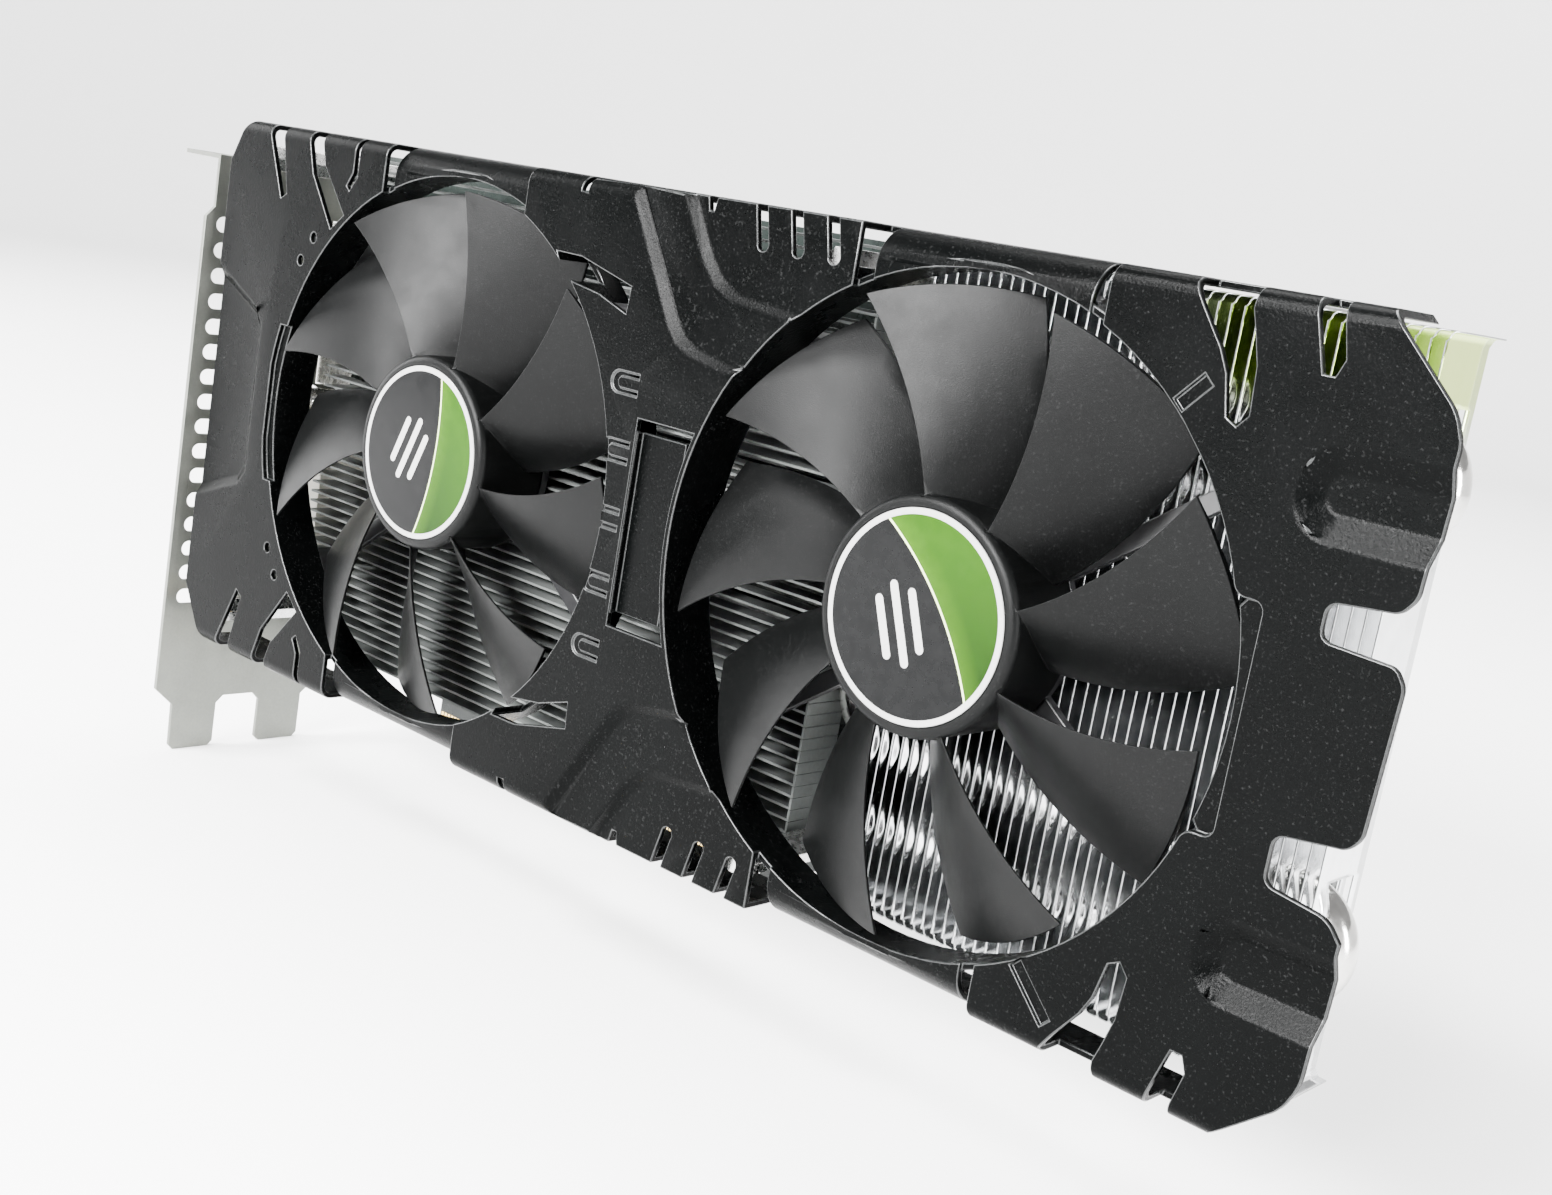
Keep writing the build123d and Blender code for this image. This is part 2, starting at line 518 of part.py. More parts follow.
def make_heatsink():
    """Base, pipes and both fin stacks."""
    base = block(-8.0, 70.0, -21.0, 21.0, CHIP_T + DIE_T, LEFT_FIN_Z0)
    arms = block(CHIP_U - 33, CHIP_U + 33, -33.0, 33.0, 5.0, 7.5)
    for dx in (-1, 1):
        for dy in (-1, 1):
            arms -= rod(CHIP_U + dx * SCREW_SPREAD / 2, dy * SCREW_SPREAD / 2, 0, 12, 1.3)
    base += arms
    for side in (1, -1):
        groove = Pos(0, side * PIPE_IN_V, PIPE_Z) * Rot(0, 90, 0) * Cylinder(PIPE_R, 400)
        base -= groove
    add("heatsink_base", on_fans(base))
    add("heat_pipe_upper", on_fans(make_pipe(1)))
    add("heat_pipe_lower", on_fans(make_pipe(-1)))
    add("fins_left", *make_left_fins())
    add("fins_right", *make_right_fins())


# ---------------------------------------------------------------- bracket and sockets
DVI_Y, DVI_Z = 43.0, 7.6
JACK_SPREAD = 33.3        # between the two jack screws
DVI_MOUTH = (24.0, 8.0, 1.3)      # width, height and corner inside the shell
HDMI_Y, HDMI_Z = 71.0, 3.3
DP_Y, DP_Z = 88.0, 3.5
BRACKET_TABS = (14.5, 101.0)      # heights of the two lugs that the board is screwed to
LUG_X = 8.2                       # their screws, from the bracket's outer face
VENT_Z, VENT_L = 26.6, 13.0
BRACKET_OUTLINE = [(BRACKET_TOP, BRACKET_Z0), (BRACKET_TOP, BRACKET_TAB_Z1),
                   (96.3, BRACKET_TAB_Z1), (94.3, BRACKET_Z1), (-0.5, BRACKET_Z1),
                   (-4.0, 31.6), (-12.7, 31.4), (-13.7, 30.4), (-13.7, 22.4), (-12.7, 21.4),
                   (-4.5, 21.4), (-3.0, 19.9), (-3.0, 12.8), (-4.5, 11.3), (-12.7, 11.3),
                   (-13.7, 10.3), (-13.7, 1.9), (-12.7, 0.9), (-4.0, 0.9),
                   (-0.5, BRACKET_Z0)]


def side_slab(face, x0, x1):
    """A sketch drawn with its x along the card's y and its y along z, extruded along x."""
    plane = Plane(origin=(x0, 0, 0), x_dir=(0, 1, 0), z_dir=(1, 0, 0))
    return extrude(plane * face, x1 - x0, dir=(1, 0, 0))


def d_shape(width, height, corner):
    """The outline of a video socket: a rectangle with its two lower corners cut."""
    w, h = width / 2, height / 2
    points = [(-w, h), (w, h), (w, -h + corner), (w - corner, -h), (-w + corner, -h),
              (-w, -h + corner)]
    return make_face(Polyline(*points, close=True))


def make_bracket():
    """Two-slot bracket: plate, top tab, vents, socket cut-outs and board tabs."""
    outline = make_face(Polyline(*BRACKET_OUTLINE, close=True))
    plate = side_slab(outline, 0, BRACKET_T)
    tab_y = BRACKET_TOP - BRACKET_T
    tab = block(-TAB_LENGTH, BRACKET_T, tab_y, BRACKET_TOP, BRACKET_Z0, BRACKET_TAB_Z1)
    for z in (BRACKET_Z0, 18.0):
        notch = Pos(-6.4, tab_y, z) * Rot(90, 0, 0) * Cylinder(2.2, 5)
        tab -= notch
        tab -= block(-8.6, -4.2, tab_y - 2, BRACKET_TOP + 2, z - 2.5, z)
    plate += tab
    for row in range(VENT_ROWS):
        y = FAN_Y + 29.7 - row * VENT_PITCH
        vent = Pos(y, VENT_Z) * Rot(0, 0, 90) * SlotOverall(VENT_L, VENT_H)
        plate -= side_slab(vent, -1, 2)
    plate -= side_slab(Pos(DVI_Y, DVI_Z) * d_shape(25.6, 9.6, 1.6), -1, 2)
    plate -= side_slab(Pos(DVI_Y, DVI_Z) * SlotOverall(JACK_SPREAD + 6.6, 6.6), -1, 2)
    plate -= side_slab(Pos(HDMI_Y, HDMI_Z) * d_shape(15.6, 6.2, 1.4), -1, 2)
    plate -= side_slab(Pos(DP_Y, DP_Z) * d_shape(17.0, 6.4, 1.4), -1, 2)
    for y in BRACKET_TABS:
        lug = block(0, 12.0, y - 3.4, y + 3.4, 0, BRACKET_T) - rod(LUG_X, y, -1, 2, 1.6)
        plate += lug
    return plate


def make_sockets():
    """DVI, HDMI and DisplayPort style sockets: metal shells with plastic inside."""
    shell = side_slab(Pos(DVI_Y, DVI_Z) * d_shape(25.0, 9.0, 1.5), -5.2, BRACKET_T)
    shell -= side_slab(Pos(DVI_Y, DVI_Z) * d_shape(*DVI_MOUTH), -6.0, 2)
    flange = block(BRACKET_T, BRACKET_T + 1.0, DVI_Y - 19.4, DVI_Y + 19.4, 0.6, 14.0)
    flange -= side_slab(Pos(DVI_Y, DVI_Z) * d_shape(*DVI_MOUTH), 0, 3)
    for sign in (-1, 1):
        jack_hole = Pos(DVI_Y + sign * JACK_SPREAD / 2, DVI_Z) * Circle(1.65)
        flange -= side_slab(jack_hole, 0, 3)
    add("dvi_shell", shell + flange)
    body = block(BRACKET_T + 1.0, 17.0, DVI_Y - 13.2, DVI_Y + 13.2, 0.0, 14.0)
    core = side_slab(Pos(DVI_Y, DVI_Z) * d_shape(*DVI_MOUTH), -4.6, BRACKET_T + 1.0)
    for row in range(3):
        for column in range(8):
            hole = Pos(DVI_Y - 9.6 + column * 1.9, DVI_Z + 1.9 * (row - 1))
            core -= side_slab(hole * Circle(0.55), -6, -2.0)
    core -= side_slab(Pos(DVI_Y + 8.0, DVI_Z) * Rectangle(4.6, 0.8), -6, -2.0)
    add("dvi_body", body + core)
    jacks = []
    for sign in (-1, 1):
        y = DVI_Y + sign * JACK_SPREAD / 2
        hexagon = side_slab(Pos(y, DVI_Z) * RegularPolygon(2.7, 6), -5.0, BRACKET_T)
        shank = side_slab(Pos(y, DVI_Z) * Circle(1.6), BRACKET_T, BRACKET_T + 3.6)
        bore = side_slab(Pos(y, DVI_Z) * Circle(1.3), -6, BRACKET_T + 1.0)
        jacks.append(hexagon + shank - bore)
    add("dvi_jackscrews", *jacks)
    for name, y, z, width, height, depth in (("hdmi", HDMI_Y, HDMI_Z, 15.0, 5.6, 12.0),
                                             ("displayport", DP_Y, DP_Z, 16.4, 5.8, 13.5)):
        can = side_slab(Pos(y, z) * d_shape(width, height, 1.2), -0.4, depth)
        can -= side_slab(Pos(y, z) * d_shape(width - 0.8, height - 0.8, 1.05), -1, depth - 0.6)
        add(name + "_shell", can)
        back = side_slab(Pos(y, z) * d_shape(width - 0.8, height - 0.8, 1.05), depth - 4, depth - 0.6)
        tongue = block(1.2, depth - 3.9, y - width * 0.36, y + width * 0.36, z - 0.7, z + 0.5)
        add(name + "_tongue", back + tongue)


# ---------------------------------------------------------------- board
STANDOFFS = ((-57.0, 44.0, SIDE_Z - SHEET), (-57.0, -42.6, SIDE_Z - SHEET),
             (82.8, 43.9, MID_Z - STEP_OUTER - STEP_INNER - SHEET),
             (82.8, -43.9, MID_Z - STEP_OUTER - STEP_INNER - SHEET))
# Places of packages: memory from the chip's centre, the others on the card.
MEMORY = ((-13.5, 30.0), (4.5, 30.0), (32.0, 14.0), (32.0, -3.0), (32.0, -20.0), (4.5, -31.0),
          (-13.5, -31.0))
MEMORY_W, MEMORY_L, MEMORY_T = 12.0, 14.0, 1.1
CONTROLLERS = ((199.0, 100.0, 6.0), (206.0, 30.0, 5.0), (60.0, 22.0, 4.0), (36.0, 92.0, 7.0),
               (214.0, 86.0, 4.0))
CONTROLLER_T = 0.9
PHASES, PHASE_Y, PHASE_PITCH = 5, 32.0, 14.0
CHOKE_X, CHOKE_SIDE, CHOKE_T = 174.5, 7.0, 5.4
SWITCH_XS, SWITCH_SIDE, SWITCH_L, SWITCH_T = (185.0, 192.0), 5.0, 6.0, 1.0
CANS = ((205.0, 44.0), (205.0, 54.5), (205.0, 65.0), (205.0, 75.5), (222.0, 44.0),
        (222.0, 60.0), (46.0, 20.0), (140.0, 20.0), (150.0, 20.0))
CAN_R, CAN_TOP, CAN_BASE_HALF, CAN_BASE_T = 3.0, 5.6, 3.3, 0.7
CERAMIC_L, CERAMIC_W = 1.6, 0.8
SPRING_L = 2.2


def chip_holes():
    """Card positions of the four spring screws round the graphics chip."""
    half = SCREW_SPREAD / 2
    return [(FAN_X + CHIP_U + sx * half, FAN_Y + CHIP_V + sy * half)
            for sx in (-1, 1) for sy in (-1, 1)]


def make_board():
    """The circuit board with its keyed edge tongue, hook and holes."""
    board = block(BOARD_X0, BOARD_X1, BOARD_Y0, BOARD_Y1, -BOARD_T, 0)
    for x0, x1 in ((CONTACT_X0, KEY_X0), (KEY_X1, CONTACT_X1)):
        tongue = slab([(x0, BOARD_Y0 + 1), (x0, 0.9), (x0 + 0.9, 0), (x1 - 0.9, 0), (x1, 0.9),
                       (x1, BOARD_Y0 + 1)], -BOARD_T, 0)
        board += tongue
    hook = slab([(134.6, BOARD_Y0 + 1), (134.6, 1.4), (137.0, 1.4), (139.0, 3.4),
                 (139.0, BOARD_Y0 + 1)], -BOARD_T, 0)
    board += hook
    board -= slab([(BOARD_X1 - 14, BOARD_Y0 - 1), (BOARD_X1 + 1, BOARD_Y0 - 1),
                   (BOARD_X1 + 1, BOARD_Y0 + 12)], -3, 1)
    for x, y in chip_holes():
        board -= rod(x, y, -3, 1, 1.5)
    for u, v, _ in STANDOFFS:
        board -= rod(FAN_X + u, FAN_Y + v, -3, 1, 1.35)
    for y in BRACKET_TABS:
        board -= rod(LUG_X, y, -3, 1, 1.35)
    return board


def make_contacts():
    """Gold edge contacts on both faces, in two groups either side of the key."""
    contacts = []
    for first, count in ((CONTACT_X0 + 0.83, 11), (KEY_X1 + 0.83, 71)):
        for index in range(count):
            x = first + index
            contacts.append(block(x - 0.35, x + 0.35, 1.3, 5.9, 0, 0.04))
            contacts.append(block(x - 0.35, x + 0.35, 1.3, 5.9, -BOARD_T - 0.04, -BOARD_T))
    return contacts


def make_chips():
    """Graphics chip, memory and the small square packages."""
    cx, cy = FAN_X + CHIP_U, FAN_Y + CHIP_V
    half, die = CHIP_SIDE / 2, DIE_SIDE / 2
    add("gpu_substrate", block(cx - half, cx + half, cy - half, cy + half, 0, CHIP_T))
    add("gpu_die", block(cx - die, cx + die, cy - die, cy + die, CHIP_T, CHIP_T + DIE_T))
    memory = []
    for dx, dy in MEMORY:
        x, y = cx + dx, cy + dy
        memory.append(block(x - MEMORY_W / 2, x + MEMORY_W / 2, y - MEMORY_L / 2,
                            y + MEMORY_L / 2, 0, MEMORY_T))
    add("memory_chips", *memory)
    controllers = []
    for x, y, side in CONTROLLERS:
        r = side / 2
        controllers.append(block(x - r, x + r, y - r, y + r, 0, CONTROLLER_T))
    add("controller_chips", *controllers)


def make_power_stage():
    """Chokes, power switches and polymer capacitors of the supply phases."""
    chokes, switches, cans, bases = [], [], [], []
    for index in range(PHASES):
        y = PHASE_Y + index * PHASE_PITCH
        half = CHOKE_SIDE / 2
        choke = block(CHOKE_X - half, CHOKE_X + half, y - half, y + half, 0, CHOKE_T)
        chokes.append(fillet(choke.edges().filter_by(Axis.Z), 0.8))
        for x in SWITCH_XS:
            y1 = y + 0.4
            switches.append(block(x - SWITCH_SIDE / 2, x + SWITCH_SIDE / 2, y1 - SWITCH_L, y1,
                                  0, SWITCH_T))
    for x, y in CANS:
        half = CAN_BASE_HALF
        bases.append(block(x - half, x + half, y - half, y + half, 0, CAN_BASE_T))
        can = rod(x, y, CAN_BASE_T, CAN_TOP, CAN_R)
        cans.append(fillet(can.edges().group_by(Axis.Z)[-1], 0.4))
    add("chokes", *chokes)
    add("power_switches", *switches)
    add("capacitor_cans", *cans)
    add("capacitor_bases", *bases)


def make_small_parts():
    """Rows of ceramic capacitors, the crystal, and what stands on the board's back."""
    ceramics = []
    cx, cy = FAN_X + CHIP_U, FAN_Y + CHIP_V
    long, wide = CERAMIC_L / 2, CERAMIC_W / 2
    for index in range(9):
        shift = -16.0 + 4.0 * index
        for sign in (-1, 1):
            y = cy + sign * 21.4
            x = cx + shift
            ceramics.append(block(x - long, x + long, y - wide, y + wide, 0, 0.8))
            x = cx + sign * 21.6
            y = cy + shift
            ceramics.append(block(x - wide, x + wide, y - long, y + long, 0, 0.8))
    for index in range(14):
        x = 64.0 + index * 4.6
        ceramics.append(block(x - 0.5, x + 0.5, 10.2, 11.2, 0, 0.55))
    add("ceramic_capacitors", *ceramics)
    back = []
    for column in range(7):
        for row in range(7):
            x, y = cx - 12 + 4 * column, cy - 12 + 4 * row
            back.append(block(x - long, x + long, y - wide, y + wide, -BOARD_T - 0.6, -BOARD_T))
    add("back_capacitors", *back)
    crystal = block(149.0, 154.0, 44.0, 47.2, 0, 1.2)
    add("crystal", fillet(crystal.edges().filter_by(Axis.Z), 0.8))
    headers = []
    for x in (150.0, 158.5):
        body = block(x - 2.6, x + 5.4, 86.0, 90.4, 0, 5.6) - block(x - 1.9, x + 4.7, 86.7, 89.7, 1, 7)
        headers.append(body)
    add("fan_headers", *headers)


def make_power_socket():
    """Six-way auxiliary power socket at the top edge, mouth upwards, and its pins."""
    x0, y0, y1 = SOCKET_X0, BOARD_Y1 - 12.0, BOARD_Y1 + 1.4
    pitch, wall = SOCKET_PITCH, SOCKET_WALL
    housing = block(x0, SOCKET_X1, y0, y1, 0, 2 * pitch + wall)
    pins = []
    for column in range(3):
        for row in range(2):
            x = x0 + wall + column * pitch
            z = wall + row * pitch
            housing -= block(x, x + pitch - wall, y0 + 2.0, y1 + 1, z, z + pitch - wall)
            px, pz = x + 1.6, z + 1.6
            pins.append(block(px - 0.6, px + 0.6, y0 + 2.0, y1 - 2.4, pz - 0.6, pz + 0.6))
    housing += block(x0 + pitch + 0.5, x0 + 2 * pitch + 0.5, y1 - 7.0, y1 - 3.6, 2 * pitch + wall,
                     2 * pitch + wall + 1.2)
    add("power_socket", housing)
    add("power_pins", *pins)


def make_fasteners():
    """Standoffs, screws, springs and the back cross."""
    posts, post_screws = [], []
    for u, v, top in STANDOFFS:
        x, y = FAN_X + u, FAN_Y + v
        post = extrude(Pos(x, y, 0) * RegularPolygon(2.6, 6), top, dir=(0, 0, 1))
        posts.append(post - rod(x, y, -1, 7, 1.25))
        post_screws.append(pan_screw(x, y, -BOARD_T, 6.0, 2.4, 1.25, up=False))
    add("shroud_standoffs", *posts)
    add("shroud_screws", *post_screws)

    cx, cy = FAN_X + CHIP_U, FAN_Y + CHIP_V
    z1 = -BOARD_T - 1.2
    z0 = z1 - 1.0
    ring = tube(cx, cy, z0, z1, 17.0, 12.5)
    for angle in (45, 135, 225, 315):
        arm = block(16, 43.5, -3.2, 3.2, z0, z1)
        ring += Pos(cx, cy, 0) * Rot(0, 0, angle) * arm
    pads, screws, springs = [], [], []
    for x, y in chip_holes():
        ring -= rod(x, y, -10, 0, 1.35)
        pads.append(tube(x, y, z1, -BOARD_T, 2.6, 1.5))
        screws.append(pan_screw(x, y, z0 - SPRING_L, 12.2, 2.7, 1.25, up=False))
        springs.append(tube(x, y, z0 - SPRING_L, z0, 2.1, 1.6))
    add("back_cross", ring)
    add("cross_washers", *pads)
    add("cross_screws", *screws)
    add("cross_springs", *springs)

    add("bracket_screws", *[pan_screw(LUG_X, y, BRACKET_T, BRACKET_T + 1.4, 2.6, 1.35)
                            for y in BRACKET_TABS])


def main():
    """Build every sub-part and write it."""
    add("shroud", make_shroud())
    make_fans()
    make_heatsink()
    add("bracket", make_bracket())
    make_sockets()
    add("circuit_board", make_board())
    add("edge_contacts", *make_contacts())
    make_chips()
    make_power_stage()
    make_small_parts()
    make_power_socket()
    make_fasteners()
    os.makedirs("parts", exist_ok=True)
    for name, shape in PARTS.items():
        export_step(shape, f"parts/{name}.step")
        size = shape.bounding_box().size
        print(f"{name:22s} {len(shape.solids()):3d} solids  {size.X:6.1f} {size.Y:6.1f} {size.Z:6.1f}")


main()
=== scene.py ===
"""Looks of a dual-fan graphics card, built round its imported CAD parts, in metres."""
import json
import math
import random

import bmesh
import bpy
from mathutils import Matrix, Vector


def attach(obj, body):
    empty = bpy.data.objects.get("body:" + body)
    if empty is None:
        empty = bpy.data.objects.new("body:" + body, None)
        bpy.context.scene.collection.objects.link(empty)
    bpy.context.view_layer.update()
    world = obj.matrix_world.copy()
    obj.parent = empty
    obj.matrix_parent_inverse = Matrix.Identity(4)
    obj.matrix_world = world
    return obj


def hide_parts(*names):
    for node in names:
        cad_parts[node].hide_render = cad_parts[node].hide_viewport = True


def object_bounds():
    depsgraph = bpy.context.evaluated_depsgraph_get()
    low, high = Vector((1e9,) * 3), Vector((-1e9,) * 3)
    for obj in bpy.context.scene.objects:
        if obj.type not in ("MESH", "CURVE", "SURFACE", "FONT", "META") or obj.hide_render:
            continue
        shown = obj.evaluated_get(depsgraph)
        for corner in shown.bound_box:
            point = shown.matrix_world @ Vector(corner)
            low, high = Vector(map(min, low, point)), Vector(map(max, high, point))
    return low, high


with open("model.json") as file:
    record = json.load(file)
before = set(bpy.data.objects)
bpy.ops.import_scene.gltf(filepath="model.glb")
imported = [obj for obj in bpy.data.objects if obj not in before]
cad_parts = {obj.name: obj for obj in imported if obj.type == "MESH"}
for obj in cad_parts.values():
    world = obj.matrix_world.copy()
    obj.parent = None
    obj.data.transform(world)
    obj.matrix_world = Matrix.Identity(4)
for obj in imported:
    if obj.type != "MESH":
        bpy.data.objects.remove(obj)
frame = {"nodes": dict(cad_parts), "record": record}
cad_lo, cad_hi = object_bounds()

MM = 0.001
CHANCE = random.Random(7)
BODY_OF = {node: body for body, nodes in frame["record"]["behaviour"]["bodies"].items()
           for node in nodes}

# ---------------------------------------------------------------- sizes, in millimetres
FAN_X, FAN_Y, FAN_PITCH = 74.3, 63.3, 107.9
BOARD_T = 1.6
FANS = (("left", FAN_X, -45.0), ("right", FAN_X + FAN_PITCH, 0.0))   # side, axis, sticker turn


def stood(x, y, z):
    """A point of the card lying on its back (x along, y up the card, z off the board), stood up."""
    return Vector((x * MM, -z * MM, y * MM))


# ---------------------------------------------------------------- procedural finishes
def nodes_of(name):
    """An empty material with its principled shader, ready for nodes."""
    made = bpy.data.materials.new(name)
    made.use_nodes = True
    return made, made.node_tree, made.node_tree.nodes["Principled BSDF"]


def link(tree, source, target):
    """Join an output socket to an input socket."""
    tree.links.new(source, target)


def in_millimetres(tree):
    """The piece's own coordinates, scaled to millimetres."""
    place = tree.nodes.new("ShaderNodeTexCoord")
    scale = tree.nodes.new("ShaderNodeVectorMath")
    scale.operation = "SCALE"
    scale.inputs["Scale"].default_value = 1000.0
    link(tree, place.outputs["Object"], scale.inputs[0])
    return scale.outputs["Vector"]


def noise(tree, vector, scale, detail=3.0, rough=0.55):
    """A noise texture's value; scale is in turns for each millimetre."""
    made = tree.nodes.new("ShaderNodeTexNoise")
    made.inputs["Scale"].default_value = scale
    made.inputs["Detail"].default_value = detail
    made.inputs["Roughness"].default_value = rough
    link(tree, vector, made.inputs["Vector"])
    return made.outputs["Fac"]


def span(tree, value, low, high, to_low, to_high):
    """A value mapped from one range to another, clamped."""
    made = tree.nodes.new("ShaderNodeMapRange")
    for socket, number in zip(("From Min", "From Max", "To Min", "To Max"),
                              (low, high, to_low, to_high)):
        made.inputs[socket].default_value = number
    link(tree, value, made.inputs["Value"])
    return made.outputs["Result"]


def mixed(tree, share, first, second):
    """Colour mix; first and second are colours or sockets."""
    made = tree.nodes.new("ShaderNodeMix")
    made.data_type = "RGBA"
    link(tree, share, made.inputs["Factor"])
    for socket, value in ((made.inputs[6], first), (made.inputs[7], second)):
        if isinstance(value, tuple):
            socket.default_value = (*value, 1.0)
        else:
            link(tree, value, socket)
    return made.outputs[2]


def sums(tree, operation, first, second):
    """One maths node; either input is a number or a socket."""
    made = tree.nodes.new("ShaderNodeMath")
    made.operation = operation
    for socket, value in zip(made.inputs, (first, second)):
        if isinstance(value, (int, float)):
            socket.default_value = value
        else:
            link(tree, value, socket)
    return made.outputs[0]


def bumped(tree, shader, height, distance):
    """A bump on the shader, as deep as distance in millimetres."""
    made = tree.nodes.new("ShaderNodeBump")
    made.inputs["Distance"].default_value = distance * MM
    made.inputs["Strength"].default_value = 1.0
    link(tree, height, made.inputs["Height"])
    link(tree, made.outputs["Normal"], shader.inputs["Normal"])


def shades(colour, spread):
    """A darker and a lighter tone of a colour."""
    dark = tuple(max(0.0, c * (1.0 - spread)) for c in colour)
    light = tuple(min(1.0, c * (1.0 + spread)) for c in colour)
    return dark, light


COAT_ROUGH = 0.12
FLECK_GRAIN, FLECK_LOW, FLECK_HIGH = 2.4, 0.62, 0.76   # turns for each millimetre, noise values


def finish(name, colour, metal=0.0, rough=0.5, spread=0.15, rough_spread=0.08, patch=0.12,
           grain=2.5, bump=0.02, fleck=0.0, stretch=None, specular=0.5, coat=0.0):
    """A finish with mottled colour, uneven gloss and fine grain.

    patch and grain are in turns for each millimetre, bump in millimetres; fleck is the share of
    bright specks; stretch draws the grain out along one axis, as brushing or rolling does.
    """
    made, tree, shader = nodes_of(name)
    place = in_millimetres(tree)
    grain_place = place
    if stretch is not None:
        drawn = tree.nodes.new("ShaderNodeVectorMath")
        drawn.operation = "MULTIPLY"
        drawn.inputs[1].default_value = stretch
        link(tree, place, drawn.inputs[0])
        grain_place = drawn.outputs["Vector"]
    broad = noise(tree, place, patch, 4.0, 0.6)
    fine = noise(tree, grain_place, grain, 3.0, 0.6)
    both = sums(tree, "ADD", sums(tree, "MULTIPLY", broad, 0.6), sums(tree, "MULTIPLY", fine, 0.4))
    dark, light = shades(colour, spread)
    tone = mixed(tree, span(tree, both, 0.35, 0.65, 0.0, 1.0), dark, light)
    if fleck:
        speck = noise(tree, place, FLECK_GRAIN, 1.0, 0.5)
        bright = tuple(c * 2.5 + 0.007 for c in colour)
        tone = mixed(tree, span(tree, speck, FLECK_LOW, FLECK_HIGH, 0.0, fleck), tone, bright)
    link(tree, tone, shader.inputs["Base Color"])
    gloss = span(tree, noise(tree, place, patch * 2.3, 5.0, 0.65), 0.3, 0.7,
                 max(0.02, rough - rough_spread), min(1.0, rough + rough_spread))
    link(tree, gloss, shader.inputs["Roughness"])
    shader.inputs["Metallic"].default_value = metal
    shader.inputs["Specular IOR Level"].default_value = specular
    shader.inputs["Coat Weight"].default_value = coat
    shader.inputs["Coat Roughness"].default_value = COAT_ROUGH
    bumped(tree, shader, fine, bump)
    return made


PAINT = finish("paint_black", (0.0005, 0.0006, 0.0006), rough=0.28, spread=0.3, patch=0.05,
               grain=2.7, bump=0.050, fleck=0.6, specular=0.024, rough_spread=0.05)
# lighter metallic paint on the shroud's bevelled edges: a painted highlight along every rim
PAINT_EDGE_HIGHLIGHT = finish("paint_edge_highlight", (0.013, 0.014, 0.014), metal=0.5, rough=0.30, spread=0.5,
                    patch=0.5, grain=1.5, bump=0.01)
BLADE = finish("blade_plastic", (0.0013, 0.0014, 0.0014), rough=0.37, spread=0.25, patch=0.08,
               grain=6.0, bump=0.030, rough_spread=0.05, specular=0.060, fleck=0.4)
FRAME = finish("frame_plastic", (0.008, 0.008, 0.0085), rough=0.36, spread=0.3, patch=0.2,
               grain=1.2, bump=0.010)
RING_WHITE = finish("sticker_ring", (0.27, 0.27, 0.265), rough=0.30, spread=0.04, patch=0.3,
                    grain=1.0, bump=0.004, coat=0.5)
STEEL = finish("steel_bright", (0.55, 0.55, 0.54), metal=1.0, rough=0.28, spread=0.12, patch=0.6,
               grain=3.0, bump=0.006)
MAGNET = finish("magnet_dark", (0.05, 0.048, 0.046), rough=0.75, spread=0.2, patch=0.8,
                grain=2.0, bump=0.03)
BRASS = finish("bearing_brass", (0.62, 0.42, 0.17), metal=1.0, rough=0.35, spread=0.15, patch=0.6,
               grain=3.0, bump=0.008)
LAMINATION = finish("lamination_steel", (0.30, 0.31, 0.32), metal=0.9, rough=0.45, spread=0.25,
                    grain=2.0, bump=0.02, stretch=(0.2, 6.0, 0.2))
COPPER = finish("copper_wire", (0.56, 0.19, 0.07), metal=1.0, rough=0.33, spread=0.2, patch=0.8,
                grain=1.6, bump=0.06, stretch=(1.0, 4.0, 1.0))
FIN_BRIGHT = finish("fin_bright", (0.78, 0.79, 0.80), metal=1.0, rough=0.20, spread=0.08,
                    patch=0.25, grain=1.6, bump=0.008, stretch=(1.0, 0.3, 0.3))
FIN_RIM = finish("fin_rim", (0.34, 0.35, 0.35), metal=1.0, rough=0.45, spread=0.2, patch=0.3,
                 grain=1.6, bump=0.008)
# the left fins' aluminium: rougher than the right fins' and painted far darker as shade in the deep
# gap under the fan
FIN_DULL_SHADED = finish("fin_dull_painted_shade", (0.15, 0.16, 0.155), metal=0.6, rough=0.48, spread=0.12, patch=0.2,
                  grain=1.6, bump=0.012, stretch=(0.3, 1.0, 1.0))
BASE_METAL = finish("base_metal", (0.62, 0.62, 0.62), metal=1.0, rough=0.34, spread=0.1,
                    patch=0.15, grain=2.0, bump=0.008, stretch=(0.15, 1.0, 2.0))
NICKEL = finish("pipe_nickel", (0.58, 0.57, 0.55), metal=1.0, rough=0.17, spread=0.12, patch=0.3,
                grain=0.8, bump=0.012)
ZINC = finish("bracket_zinc", (0.15, 0.156, 0.140), metal=0.85, rough=0.40, spread=0.10, patch=0.10,
              grain=2.0, bump=0.012)
SHELL = finish("shell_tin", (0.66, 0.65, 0.62), metal=1.0, rough=0.26, spread=0.1, patch=0.3,
               grain=2.0, bump=0.008)
SOCKET = finish("socket_plastic", (0.012, 0.012, 0.013), rough=0.42, spread=0.2, patch=0.3,
                grain=3.0, bump=0.012)
HEADER = finish("header_plastic", (0.72, 0.70, 0.62), rough=0.45, spread=0.08, patch=0.4,
                grain=3.0, bump=0.010)
GOLD = finish("contact_gold", (0.83, 0.58, 0.21), metal=1.0, rough=0.24, spread=0.1, patch=0.4,
              grain=3.0, bump=0.003)
CHIP = finish("chip_resin", (0.016, 0.016, 0.017), rough=0.55, spread=0.2, patch=0.3, grain=5.0,
              bump=0.010)
